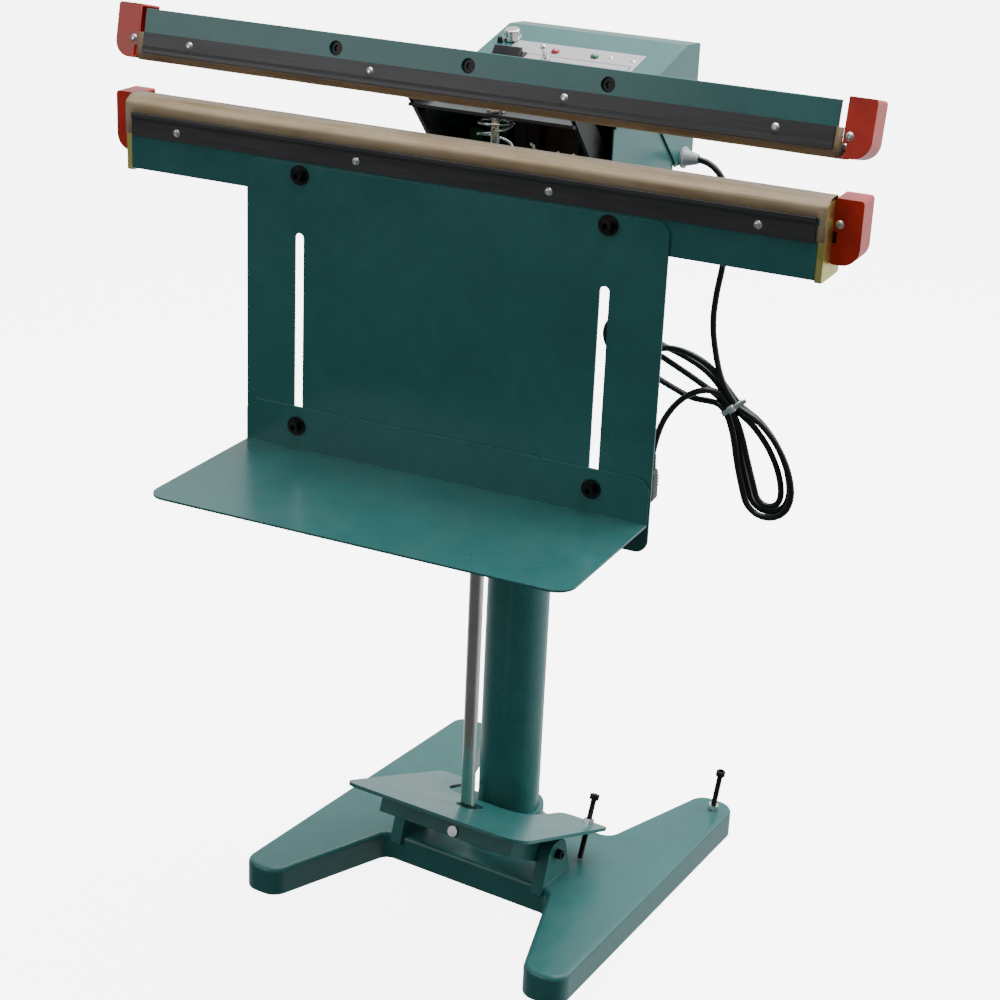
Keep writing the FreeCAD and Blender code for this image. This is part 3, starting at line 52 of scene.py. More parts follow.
class Wire:  # one socket of a finish, so that shader maths reads as sums
    def __init__(self, finish, socket):
        self.finish = finish
        self.socket = socket

    def maths(self, how, first, second):
        return self.finish.node("Math", {"operation": how}, {0: first, 1: second})

    def __add__(self, other):
        return self.maths("ADD", self, other)

    def __radd__(self, other):
        return self.maths("ADD", other, self)

    def __sub__(self, other):
        return self.maths("SUBTRACT", self, other)

    def __rsub__(self, other):
        return self.maths("SUBTRACT", other, self)

    def __mul__(self, other):
        return self.maths("MULTIPLY", self, other)

    def __rmul__(self, other):
        return self.maths("MULTIPLY", other, self)

    def __truediv__(self, other):
        return self.maths("DIVIDE", self, other)

    def __rtruediv__(self, other):
        return self.maths("DIVIDE", other, self)

    def __lt__(self, other):
        return self.maths("LESS_THAN", self, other)

    def __gt__(self, other):
        return self.maths("GREATER_THAN", self, other)

    def __abs__(self):
        return self.maths("ABSOLUTE", self, 0)


class Finish:  # a material with its principled shader
    def __init__(self, name, **constants):
        self.material = bpy.data.materials.new(name)
        self.material.use_nodes = True
        self.tree = self.material.node_tree
        self.tree.nodes.clear()
        self.output = self.tree.nodes.new("ShaderNodeOutputMaterial")
        self.shader = self.tree.nodes.new("ShaderNodeBsdfPrincipled")
        self.tree.links.new(self.shader.outputs[0], self.output.inputs[0])
        for socket, value in constants.items():
            self.feed(self.shader.inputs[socket.replace("_", " ")], value)

    def feed(self, target, value):
        if isinstance(value, Wire):
            self.tree.links.new(value.socket, target)
        elif isinstance(value, tuple) and len(value) == 3 and target.type == "RGBA":
            target.default_value = (*value, 1)
        else:
            target.default_value = value

    def node(self, kind, settings=None, inputs=None, out=0):
        made = self.tree.nodes.new("ShaderNode" + kind)
        for name, value in (settings or {}).items():
            if name == "stops":
                ramp = made.color_ramp
                while len(ramp.elements) < len(value):
                    ramp.elements.new(0.5)
                for element, (place, colour) in zip(ramp.elements, value):
                    element.position = place
                    element.color = (*colour, 1)
            else:
                setattr(made, name, value)
        for key, value in (inputs or {}).items():
            self.feed(made.inputs[key], value)
        return Wire(self, made.outputs[out])

    def place(self, scale=(1, 1, 1), shift=(0, 0, 0), uv=False):
        spot = self.node("TexCoord", out="UV" if uv else "Object")
        inputs = {"Vector": spot, "Location": shift, "Scale": scale}
        return self.node("Mapping", None, inputs)

    def axes(self, place=None):
        split = self.node("SeparateXYZ", None, {0: place or self.place()})
        split = split.socket.node
        return [Wire(self, split.outputs[k]) for k in range(3)]

    def noise(self, scale, detail=3, rough=0.5, place=None):
        inputs = {"Vector": place or self.place(), "Scale": scale, "Detail": detail, "Roughness": rough}
        return self.node("TexNoise", None, inputs)

    def blend(self, share, first, second):
        made = self.tree.nodes.new("ShaderNodeMix")
        made.data_type = "RGBA"
        for key, value in ((0, share), (6, first), (7, second)):
            self.feed(made.inputs[key], value)
        return Wire(self, made.outputs[2])

    def spread(self, value, low, high, newLow=0.0, newHigh=1.0):
        inputs = {0: value, 1: low, 2: high, 3: newLow, 4: newHigh}
        return self.node("MapRange", {"clamp": True}, inputs)

    def sine(self, wire, pitch):
        # one wave for every pitch metres
        return self.node("Math", {"operation": "SINE"}, {0: wire * (2 * math.pi / pitch)})

    def overshoot(self, wire, limit):
        # how far a distance runs past its limit, never under nought
        return self.node("Math", {"operation": "MAXIMUM"}, {0: abs(wire) - limit, 1: 0.0})

    def colour(self, wire):
        self.feed(self.shader.inputs["Base Color"], wire)

    def rough(self, wire):
        self.feed(self.shader.inputs["Roughness"], wire)

    def bump(self, height, distance, strength=1.0, roundEdge=0.0):
        inputs = {"Strength": strength, "Distance": distance, "Height": height}
        if roundEdge:
            inputs["Normal"] = self.node("Bevel", {"samples": 4}, {"Radius": roundEdge})
        self.feed(self.shader.inputs["Normal"], self.node("Bump", None, inputs))


print("shader helpers ready")


# the third teal is a paler shade, painted on up-facing faces as top light
paint = {"deep": (0.022, 0.128, 0.122), "light": (0.030, 0.160, 0.152), "paintedTopLight": (0.080, 0.165, 0.158)}


def enamel(name, peel, peelDepth, edge, roughness):
    # stoved teal enamel: faint cloudiness, orange peel, and painted top light: a paler teal, in patches, on what
    # faces up
    f = Finish(name, Specular_IOR_Level=0.42, Coat_Weight=0.15, Coat_Roughness=0.16)
    clouds = f.noise(9, 4, 0.6)
    flow = f.noise(60, 2, 0.5)
    up = f.axes(f.node("NewGeometry", out="Normal"))[2]
    # painted top light: faces turned up are blended, in patches, towards the paler teal, and made a little rougher
    paintedTopLight = f.spread(up, 0.75, 1.0, 0.0, 0.30) * f.spread(f.noise(26, 5, 0.65), 0.42, 0.72)
    body = f.blend(f.spread(clouds * 0.7 + flow * 0.3, 0.36, 0.64), paint["deep"], paint["light"])
    f.colour(f.blend(paintedTopLight, body, paint["paintedTopLight"]))
    f.rough(f.spread(clouds, 0.3, 0.7, roughness - 0.04, roughness + 0.05) + paintedTopLight * 0.25)
    f.bump(f.noise(peel, 2, 0.4), peelDepth, 0.5, edge)
    return f.material


def turnedSteel(name, shade, rings, roughness):
    # ground round bar: fine lines across its length and a few handling marks
    f = Finish(name, Metallic=1.0)
    fine = f.noise(1, 2, 0.5, f.place((60, 60, rings)))
    marks = f.noise(35, 5, 0.7)
    dark = tuple(c * 0.80 for c in shade)
    f.colour(f.blend(f.spread(fine * 0.6 + marks * 0.4, 0.35, 0.65), dark, shade))
    f.rough(f.spread(marks, 0.35, 0.75, roughness - 0.05, roughness + 0.10))
    f.bump(fine, 0.00003, 0.5)
    return f.material


def zincPlate(name, shade, roughness, mottle):
    f = Finish(name, Metallic=1.0)
    spangle = f.noise(mottle, 4, 0.6)
    tint = f.noise(mottle * 0.25, 2, 0.5)
    warm = (shade[0], shade[1] * 0.97, shade[2] * 0.90)
    f.colour(f.blend(f.spread(tint, 0.4, 0.6), warm, shade))
    f.rough(f.spread(spangle, 0.3, 0.7, roughness - 0.06, roughness + 0.10))
    f.bump(spangle, 0.00004, 0.4, 0.0003)
    return f.material


def blackOxide(name):
    f = Finish(name, Metallic=0.55)
    oil = f.noise(140, 4, 0.6)
    f.colour(f.blend(f.spread(oil, 0.35, 0.7), (0.006, 0.006, 0.007), (0.022, 0.022, 0.024)))
    f.rough(f.spread(oil, 0.3, 0.7, 0.30, 0.46))
    f.bump(f.noise(900, 2, 0.5), 0.00003, 0.5, 0.0002)
    return f.material


def clampStrip(name):
    # grey anodised strip, rolled lengthways
    f = Finish(name, Metallic=0.35, Specular_IOR_Level=0.45)
    grain = f.noise(1, 3, 0.6, f.place((14, 1500, 1500)))
    smear = f.noise(1, 4, 0.6, f.place((9, 90, 90)))
    worn = f.spread(grain * 0.5 + smear * 0.5, 0.35, 0.65)
    f.colour(f.blend(worn, (0.040, 0.040, 0.043), (0.070, 0.069, 0.072)))
    f.rough(f.spread(smear, 0.35, 0.7, 0.34, 0.46))
    f.bump(grain, 0.00002, 0.5, 0.0003)
    return f.material


def chromate(name):
    # yellow chromate: straw, green and rose drift over the metal
    f = Finish(name, Metallic=0.85)
    drift = f.noise(28, 4, 0.6)
    stops = [
        (0.30, (0.52, 0.50, 0.12)),
        (0.46, (0.70, 0.62, 0.20)),
        (0.60, (0.60, 0.60, 0.24)),
        (0.74, (0.62, 0.42, 0.22)),
    ]
    f.colour(f.node("ValToRGB", {"stops": stops}, {0: drift}))
    f.rough(f.spread(f.noise(200, 3, 0.6), 0.3, 0.7, 0.32, 0.48))
    f.bump(f.noise(1, 3, 0.6, f.place((20, 700, 700))), 0.00004, 0.4, 0.0004)
    return f.material


weavePitch = 0.85 * mm


def sealCloth(name, body, light):
    # woven glass coated with PTFE: the weave follows the piece's own UV, in metres
    f = Finish(name, Specular_IOR_Level=0.5, Sheen_Weight=0.15, Sheen_Roughness=0.4)
    across, along, _ = f.axes(f.place(uv=True))
    weave = f.sine(across, weavePitch) * f.sine(along, weavePitch)
    streak = f.noise(1, 4, 0.65, f.place((6, 260, 260), uv=True))
    stain = f.noise(1, 3, 0.6, f.place((11, 30, 30), uv=True))
    shade = f.spread(streak * 0.45 + stain * 0.55, 0.36, 0.64)
    tone = f.blend(shade, body, light)
    f.colour(f.blend(f.spread(weave, -1, 1, 0.0, 0.22), tone, tuple(c * 0.55 for c in body)))
    f.rough(f.spread(shade, 0, 1, 0.38, 0.50))
    f.bump(weave * 0.5 + streak * 0.5, 0.00008, 0.6)
    return f.material


def moulded(name, shade, roughness, grain, coat=0.0, speckle=0.12):
    f = Finish(name, Specular_IOR_Level=0.5, Coat_Weight=coat, Coat_Roughness=0.15)
    flow = f.noise(45, 3, 0.5)
    fine = f.noise(grain, 2, 0.5)
    dark = tuple(c * (1 - 2 * speckle) for c in shade)
    f.colour(f.blend(f.spread(flow, 0.35, 0.65), dark, shade))
    f.rough(f.spread(flow, 0.3, 0.7, roughness - 0.05, roughness + 0.06))
    f.bump(fine, 0.00004, 0.5, 0.0005)
    return f.material


def lampLens(name, shade):
    f = Finish(name, Coat_Weight=1.0, Coat_Roughness=0.05, Roughness=0.25)
    facets = f.node("TexVoronoi", {"feature": "F1"}, {"Vector": f.place(), "Scale": 700.0})
    f.colour(f.blend(facets, shade, tuple(min(1, c * 3 + 0.02) for c in shade)))
    f.bump(facets, 0.0001, 0.4)
    return f.material


panelPrint = {  # the border in millimetres: "low" and "high" run up the slope from the plate's front edge
    "half": 62.5,
    "low": 6,
    "high": 69,
    "line": 0.5,
    "corner": 2,
}


def lilacPanel(name):
    # satin plate with a printed border, measured on the sloping top
    f = Finish(name, Metallic=0.35)
    lo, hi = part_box("control_panel")
    slope = math.atan2(hi.z - lo.z, hi.y - lo.y)
    x, y, _ = f.axes(f.place((1000, 1000, 1000), shift=(0, -lo.y * 1000, 0)))
    y = y / math.cos(slope)
    p = panelPrint
    middle, halfHigh = (p["low"] + p["high"]) / 2, (p["high"] - p["low"]) / 2
    outX = f.overshoot(x, p["half"] - p["corner"])
    outY = f.overshoot(y - middle, halfHigh - p["corner"])
    far = f.node("Math", {"operation": "SQRT"}, {0: outX * outX + outY * outY})
    line = abs(far - p["corner"]) < p["line"]
    grain = f.noise(1, 3, 0.6, f.place((30, 1800, 1800)))
    plate = f.blend(f.spread(grain, 0.3, 0.7), (0.44, 0.42, 0.45), (0.56, 0.54, 0.57))
    f.colour(f.blend(line, plate, (0.03, 0.03, 0.035)))
    f.rough(f.spread(grain, 0.3, 0.7, 0.34, 0.46))
    f.bump(grain, 0.00002, 0.4)
    return f.material


winding = {"half": 27.5 * mm, "middle": 35 * mm, "halfHigh": 22.5 * mm, "plate": 0.8 * mm, "wire": 1.2 * mm}


def laminations(name):
    # varnished core plates, with copper where the winding is
    f = Finish(name, Metallic=0.5)
    lo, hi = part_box("transformer")
    middle = (lo + hi) / 2
    x, y, z = f.axes()
    plates = f.sine(y, winding["plate"])
    wires = f.sine(z, winding["wire"])
    beside = abs(x - middle.x) < winding["half"]
    coil = beside * (abs(z - (lo.z + winding["middle"])) < winding["halfHigh"])
    core = f.blend(f.spread(plates, -1, 1), (0.035, 0.033, 0.032), (0.10, 0.095, 0.09))
    copper = f.blend(f.spread(wires, -1, 1), (0.020, 0.007, 0.004), (0.060, 0.024, 0.012))
    f.colour(f.blend(coil, core, copper))
    f.rough(f.spread(f.noise(90, 3), 0.3, 0.7, 0.35, 0.5))
    f.bump(plates * (1 - coil) + wires * coil, 0.0001, 0.6)
    return f.material


def solderMask(name):
    f = Finish(name, Coat_Weight=0.4, Coat_Roughness=0.2)
    inputs = {"Vector": f.place(), "Scale": 90.0, "Mortar Size": 0.12}
    tracks = f.node("TexBrick", {"offset": 0.35}, inputs, out=1)
    f.colour(f.blend(tracks, (0.012, 0.085, 0.03), (0.04, 0.20, 0.07)))
    f.rough(f.spread(f.noise(300), 0.3, 0.7, 0.30, 0.45))
    f.bump(tracks, 0.00005, 0.5)
    return f.material


tealSheet = enamel("teal sheet enamel", 520, 0.00010, 0.0007, 0.30)
tealTube = enamel("teal column enamel", 420, 0.00012, 0.0009, 0.27)
tealCast = enamel("teal cast enamel", 260, 0.00028, 0.0016, 0.36)
rodSteel = turnedSteel("ground rod steel", (0.74, 0.72, 0.67), 5200, 0.22)
springWire = turnedSteel("spring wire", (0.56, 0.56, 0.56), 900, 0.26)
zinc = zincPlate("bright zinc", (0.78, 0.79, 0.80), 0.28, 210)
chrome = zincPlate("chrome", (0.86, 0.86, 0.87), 0.12, 90)
elementRibbon = zincPlate("element ribbon", (0.55, 0.52, 0.48), 0.34, 160)
blackBolt = blackOxide("black oxide")
stripGrey = clampStrip("grey clamp strip")
chromateYellow = chromate("yellow chromate")
clothTan = sealCloth("tan seal cloth", (0.400, 0.270, 0.135), (0.660, 0.530, 0.350))
clothBrown = sealCloth("brown seal cloth", (0.170, 0.098, 0.050), (0.330, 0.225, 0.130))
siliconeRed = moulded("red silicone", (0.42, 0.10, 0.06), 0.60, 500)
capRed = moulded("orange red cap", (0.62, 0.018, 0.002), 0.36, 380, 0.12)
plasticBlack = moulded("black plastic", (0.014, 0.014, 0.015), 0.42, 700)
rubberBlack = moulded("lead rubber", (0.009, 0.009, 0.009), 0.30, 900, 0.2)
nylonPale = moulded("pale nylon", (0.55, 0.56, 0.58), 0.36, 260, 0.15, 0.05)
nylonWhite = moulded("white nylon tie", (0.72, 0.72, 0.72), 0.35, 260, 0.15, 0.04)
lampRed = lampLens("red lamp", (0.22, 0.006, 0.010))
lampGreen = lampLens("green lamp", (0.008, 0.09, 0.03))
panelLilac = lilacPanel("lilac panel")
coreIron = laminations("core and winding")
boardGreen = solderMask("board green")

wears = {
    tealSheet: ["chassis", "top_cover", "rear_panel", "back_plate", "tray", "foot_pedal", "lower_beam",
                "upper_beam"],
    tealTube: ["column"],
    tealCast: ["base_casting", "column_head"],
    rodSteel: ["pull_rod", "hinge_shaft"],
    zinc: ["column_fasteners", "levelling_nut", "pedal_stop_nut", "rod_nuts", "rod_pin", "lower_jaw_screws",
           "upper_jaw_screws", "panel_screws", "wing_nut", "wire_hook", "switch_lever"],
    chrome: ["timer_knob", "toggle_lever", "toggle_body"],
    elementRibbon: ["heating_element"],
    blackBolt: ["jaw_bolts", "plate_screws", "tray_screws", "pedal_pivot_bolt", "jaw_bracket"],
    stripGrey: ["lower_strip", "upper_strip"],
    chromateYellow: ["lower_core"],
    siliconeRed: ["upper_silicone"],
    capRed: ["lower_caps", "upper_caps"],
    plasticBlack: ["rocker_frame", "power_rocker", "fuse_cap", "micro_switch", "terminal_block"],
    nylonPale: ["cord_gland"],
    lampRed: ["power_lamp"],
    lampGreen: ["sealing_lamp"],
    panelLilac: ["control_panel"],
    coreIron: ["transformer"],
    boardGreen: ["circuit_board"],
}
for material, names in wears.items():
    for name in names:
        node = nodes[name]
        if not node.material_slots:
            node.data.materials.append(None)
        for slot in node.material_slots:
            slot.material = material
print("finishes on", sum(len(names) for names in wears.values()), "CAD nodes")


merge = 0.002 * mm
sharpAbove = 40


def newPiece(name, bm, material, body, stands=()):
    bmesh.ops.remove_doubles(bm, verts=bm.verts, dist=merge)
    bmesh.ops.recalc_face_normals(bm, faces=bm.faces)
    mesh = bpy.data.meshes.new(name)
    bm.to_mesh(mesh)
    bm.free()
    piece = bpy.data.objects.new(name, mesh)
    bpy.context.scene.collection.objects.link(piece)
    mesh.materials.append(material)
    mesh.shade_smooth()
    mesh.set_sharp_from_angle(angle=math.radians(sharpAbove))
    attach(piece, body)
    if stands:
        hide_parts(*stands)
    return piece


def lathe(bm, profile, place, steps=32):
    # spin (radius, height) points about the local Z of place
    made = [bm.verts.new((r, 0, z)) for r, z in profile]
    edges = [bm.edges.new(pair) for pair in zip(made, made[1:])]
    bmesh.ops.spin(bm, geom=made + edges, cent=(0, 0, 0), axis=(0, 0, 1), dvec=(0, 0, 0),
                   angle=2 * math.pi, steps=steps, use_merge=True)
    verts = {v for v in made if v.is_valid}
    for v in list(verts):
        verts.update(linked(v))
    verts = [v for v in verts if v.is_valid]
    bmesh.ops.remove_doubles(bm, verts=verts, dist=merge)
    bmesh.ops.transform(bm, matrix=place, verts=[v for v in verts if v.is_valid])


def linked(vertex):
    seen, todo = {vertex}, [vertex]
    while todo:
        here = todo.pop()
        for edge in here.link_edges:
            other = edge.other_vert(here)
            if other not in seen:
                seen.add(other)
                todo.append(other)
    return seen


def standing(point, way):
    # local Z along way, at point
    return Matrix.Translation(Vector(point)) @ Vector(way).to_track_quat("Z", "Y").to_matrix().to_4x4()


print("mesh helpers ready")


lead = {
    "diameter": 6.5 * mm,
    "tie": Vector((167, 125, 496)) * mm,
    "way": Vector((0.64, 0, -0.77)),        # down through the tie
    "side": Vector((0.77, 0, 0.64)),        # across the bundle
    "column": 6.6 * mm,
    "layer": 3.3 * mm,
}
supplyRoute = [
    (104, 128, 739), (115, 128, 739), (125.3, 127.5, 735), (133.8, 127, 727.6), (139.8, 126.5, 718.4),
    (142.8, 126, 707.8), (144.5, 125.5, 692), (146, 125, 668), (145, 125, 640), (140, 125, 608),
    (139, 125, 577), (145.5, 124, 548), (152, 122.5, 529), (158.5, 121.7, 517), (165, 121.7, 508.5),
]
tailRoute = [
    (159.8, 121.7, 504.8), (152.5, 120.5, 511.5), (140, 115, 513.5), (123, 110.5, 506), (106.5, 110, 487),
    (94.5, 112, 461), (90, 114, 434),
]
lowerTurn = [  # x and z of the largest lower loop, from the tie round and back
    (182.5, 495), (193, 490.5), (205, 481.5), (218, 467.5), (229.5, 448.5), (235.7, 431), (238, 414.5),
    (233.5, 398.8), (220.2, 389), (204, 389), (191, 398.5), (185.6, 414.5), (180.5, 431), (176.3, 447),
    (173, 463), (168.5, 478),
]
shortTurn = [  # the upper loop that folds at the backboard's edge
    (153.5, 499.5), (141.5, 500), (130, 499.5), (118, 501.5), (106, 506), (94, 510.5), (82.5, 515.5),
    (76.5, 525.5), (77.5, 537), (86, 545), (98, 547.5), (111, 547), (124, 544), (138, 537.5), (149, 527.5),
    (157.2, 517.5),
]
longTurn = [  # the upper loop that folds behind the backboard
    (152.5, 502.5), (142.5, 508.5), (130.5, 514.5), (118, 520.5), (107, 525.5), (96.7, 530.2), (88, 534.2),
    (78, 537), (66, 534), (54, 528.5), (39.5, 528), (27, 537), (23.5, 551), (30, 565), (44, 571.5),
    (58, 568), (68.5, 558.5), (78.5, 550), (90, 545.5), (104, 541.8), (119, 536.5), (132, 530.5),
    (143.5, 522.3), (152.3, 513.3),
]


def atTie(column, layer):
    return lead["tie"] + lead["side"] * (lead["column"] * column) + Vector((0, lead["layer"] * layer, 0))


def turnOf(shape, first, last, inset=0.0, depths=None):
    # one loop: its shape drawn in by inset, its ends led to their places in the tie
    count = len(shape)
    points = []
    for k, (x, z) in enumerate(shape):
        share = (k + 1) / (count + 1)
        before = Vector(shape[max(k - 1, 0)])
        after = Vector(shape[min(k + 1, count - 1)])
        along = (after - before).normalized()
        spot = Vector((x, z)) + Vector((along.y, -along.x)) * inset * math.sin(math.pi * share)
        point = Vector((spot.x, 0, spot.y)) * mm
        start, end = first[0] - first[2], last[0] - last[2]
        point += lead["side"] * lead["column"] * (start * (1 - share) ** 2 + end * share ** 2)
        middle = (first[1] + last[1]) / 2 if depths is None else depths
        near = max(0.0, 1 - share * 5)
        far = max(0.0, share * 5 - 4)
        depth = first[1] * near + last[1] * far + middle * (1 - near - far)
        point.y = lead["tie"].y + lead["layer"] * depth
        points.append(point)
    return points


def leadPoints():
    # column and layer of each strand in the tie; the third value is the column that the shape was drawn for
    points = [Vector(p) * mm for p in supplyRoute]
    points += [atTie(1, -1)] + turnOf(lowerTurn, (1, -1, 1), (-1, -1, -1)) + [atTie(-1, -1)]
    points += turnOf(shortTurn, (-1, -1, -1), (1, 1, 1), 0, -1.05) + [atTie(1, 1)]
    points += turnOf(lowerTurn, (1, 1, 1), (-1, 1, -1), 4.5) + [atTie(-1, 1)]
    points += turnOf(longTurn, (-1, 1, -1), (0, 1, 0), 0, 1.05) + [atTie(0, 1)]
    points += turnOf(lowerTurn, (0, 1, 1), (0, -1, -1), 11.5) + [atTie(0, -1)]
    return points + [Vector(p) * mm for p in tailRoute]


def splineCurve(name, points, bevel):
    curve = bpy.data.curves.new(name, "CURVE")
    curve.dimensions = "3D"
    curve.resolution_u = 8
    curve.use_fill_caps = bevel > 0
    curve.bevel_depth = bevel
    curve.bevel_resolution = 5
    spline = curve.splines.new("NURBS")
    spline.points.add(len(points) - 1)
    for target, point in zip(spline.points, points):
        target.co = (*point, 1)
    spline.order_u = 3
    spline.use_endpoint_u = True
    return curve


def lengthOf(curve):
    probe = bpy.data.objects.new("probe", curve)
    mesh = bpy.data.meshes.new_from_object(probe)
    spots = [v.co.copy() for v in mesh.vertices]
    bpy.data.objects.remove(probe)
    bpy.data.meshes.remove(mesh)
    return sum((b - a).length for a, b in zip(spots, spots[1:]))


leadLine = leadPoints()
leadLength = lengthOf(splineCurve("lead line", leadLine, 0))
mainsLead = bpy.data.objects.new("mains_lead", splineCurve("mains_lead", leadLine, lead["diameter"] / 2))
bpy.context.scene.collection.objects.link(mainsLead)
mainsLead.data.materials.append(rubberBlack)
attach(mainsLead, "stand")
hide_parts("cord_supply", "cord_hank", "cord_tail")
print("mains lead", round(leadLength, 3), "m")


def rounded(bm, edges, offset, segments):
    return bmesh.ops.bevel(bm, geom=edges, offset=offset, segments=segments, profile=0.5, affect="EDGES",
                           material=-1)["verts"]


def lump(bm, size, centre, place, bevel, segments=3):
    # a cube of that size with rounded edges
    made = bmesh.ops.create_cube(bm, size=1.0, matrix=Matrix.Diagonal((*size, 1)))["verts"]
    bmesh.ops.translate(bm, vec=centre, verts=made)
    if bevel:
        made = rounded(bm, list({edge for vert in made for edge in vert.link_edges}), bevel, segments)
    bmesh.ops.transform(bm, matrix=place, verts=list(linked(made[0])))


tie = {
    "inner": (20.2 * mm, 13.6 * mm),
    "wall": 1.3 * mm,
    "width": 4.8 * mm,
    "corner": 4.6 * mm,
    "lock": (6.8 * mm, 4.4 * mm, 7.0 * mm),
    "lockSide": 3 * mm,                     # the lock's middle, along the band
    "lockOut": 1.9 * mm,                    # and out from its face
    "lockEdge": 0.7 * mm,
    "tail": (19 * mm, 1.2 * mm, 4.2 * mm),
    "tailIn": 0.3 * mm,
    "tailEdge": 0.4 * mm,
    "notch": (0.7 * mm, 0.5 * mm, 3.2 * mm),
    "notches": 9,
    "notchFrom": 7.5 * mm,
    "notchStep": 1.7 * mm,
    "notchOut": 1.0 * mm,
}


def leadTie():
    # a flat nylon band round the bundle, its ribbed tail pushed through a square lock
    side, way = lead["side"], lead["way"]
    place = Matrix((side, (0, 1, 0), -way)).transposed().to_4x4()
    place.translation = lead["tie"]
    bm = bmesh.new()
    wide, deep = (length + 2 * tie["wall"] for length in tie["inner"])
    bmesh.ops.create_cube(bm, size=1.0, matrix=Matrix.Diagonal((wide, deep, tie["width"], 1)))
    lids = [face for face in bm.faces if abs(face.normal.z) > 0.5]
    bmesh.ops.delete(bm, geom=lids, context="FACES_ONLY")
    upright = [e for e in bm.edges if abs(e.verts[0].co.z - e.verts[1].co.z) > tie["width"] / 2]
    rounded(bm, upright, tie["corner"], 7)
    bmesh.ops.recalc_face_normals(bm, faces=bm.faces)
    bmesh.ops.solidify(bm, geom=bm.faces[:] + bm.edges[:] + bm.verts[:], thickness=tie["wall"])
    bmesh.ops.transform(bm, matrix=place, verts=bm.verts)
    front = -deep / 2 - tie["lockOut"]
    lump(bm, tie["lock"], (tie["lockSide"], front, 0), place, tie["lockEdge"])
    tailSpot = (tie["lockSide"] + tie["tail"][0] / 2, front - tie["tailIn"], 0)
    lump(bm, tie["tail"], tailSpot, place, tie["tailEdge"])
    for k in range(tie["notches"]):
        spot = (tie["notchFrom"] + k * tie["notchStep"], front - tie["notchOut"], 0)
        lump(bm, tie["notch"], spot, place, 0)
    return newPiece("lead_tie", bm, nylonWhite, "stand", ["cord_tie"])


plug = {  # in millimetres from the lead's end, which is the top of the relief
    "relief": 16,
    "ribs": 5,
    "ribRadius": 4.3,
    "ribGrows": 0.55,
    "ribDeep": 0.8,
    "height": 34,
    "width": 26,
    "depth": 20,
    "waist": (0.60, 0.82, 1),
    "edge": 3.4,
    "ridges": 4,
    "ridgeFrom": 9,
    "ridgeStep": 3.4,
    "blade": (1.5, 6.3, 17),
    "bladeApart": 6.3,
    "pinRadius": 2.3,
    "pinShift": 5.5,
}


def mainsPlug():
    # a moulded plug: ribbed relief, waisted body with grip ridges, two blades and an earth pin
    before, end = (Vector(point) * mm for point in tailRoute[-2:])
    way = (end - before).normalized()
    place = Matrix.Translation(end) @ Vector((0, 0, -1)).rotation_difference(way).to_matrix().to_4x4()
    bm = bmesh.new()
    step = plug["relief"] / plug["ribs"]
    relief = [(3.35, 1.5), (4.0, 1.0)]
    for k in range(plug["ribs"]):
        top, radius = -k * step, plug["ribRadius"] + plug["ribGrows"] * k
        groove = radius - plug["ribDeep"]
        relief += [(radius, top), (radius, top - step * 0.55)]
        relief += [(groove, top - step * 0.62), (groove, top - step * 0.95)]
    relief += [(6.4, -plug["relief"] - 1), (0, -plug["relief"] - 1)]
    lathe(bm, [(r * mm, z * mm) for r, z in relief], place, 28)
    wide, deep = plug["width"] * mm, plug["depth"] * mm
    top, low = -plug["relief"] * mm, -(plug["relief"] + plug["height"]) * mm
    made = bmesh.ops.create_cube(bm, size=1.0, matrix=Matrix.Diagonal((wide, deep, top - low, 1)))["verts"]
    bmesh.ops.translate(bm, vec=(0, 0, (top + low) / 2), verts=made)
    high = [v for v in made if v.co.z > (top + low) / 2]
    bmesh.ops.scale(bm, vec=plug["waist"], verts=high)
    made = rounded(bm, list({edge for vert in made for edge in vert.link_edges}), plug["edge"] * mm, 5)
    bmesh.ops.transform(bm, matrix=place, verts=list(linked(made[0])))
    for k in range(plug["ridges"]):
        ridge = (0, 0, top - (plug["ridgeFrom"] + plug["ridgeStep"] * k) * mm)
        lump(bm, (wide * (0.70 + 0.045 * k), deep * 0.97, 1.3 * mm), ridge, place, 0.5 * mm, 2)
    body = newPiece("mains_plug", bm, plasticBlack, "stand", ["plug"])
    bm = bmesh.new()
    thin, broad, reach = plug["blade"]
    sunk = 1.0                              # how far the blades and the pin start inside the body
    for x in (-plug["bladeApart"] * mm, plug["bladeApart"] * mm):
        middle = low + (sunk - reach) / 2 * mm
        lump(bm, (thin * mm, broad * mm, (reach + sunk) * mm), (x, 0, middle), place, 0.4 * mm, 2)
    radius = plug["pinRadius"]
    pin = [(0, sunk), (radius, sunk), (radius, 0.5 - reach), (1.2, -1.8 - reach), (0, -2 - reach)]
    pinPlace = place @ Matrix.Translation((0, plug["pinShift"] * mm, low))
    lathe(bm, [(r * mm, z * mm) for r, z in pin], pinPlace, 20)
    newPiece("plug_blades", bm, zinc, "stand")
    return body


spring = {
    "radius": 15.75 * mm,
    "wire": 1.25 * mm,
    "turns": 4,
    "steps": 40,
    "closed": 2.7 * mm,                     # the rise of each end turn
}


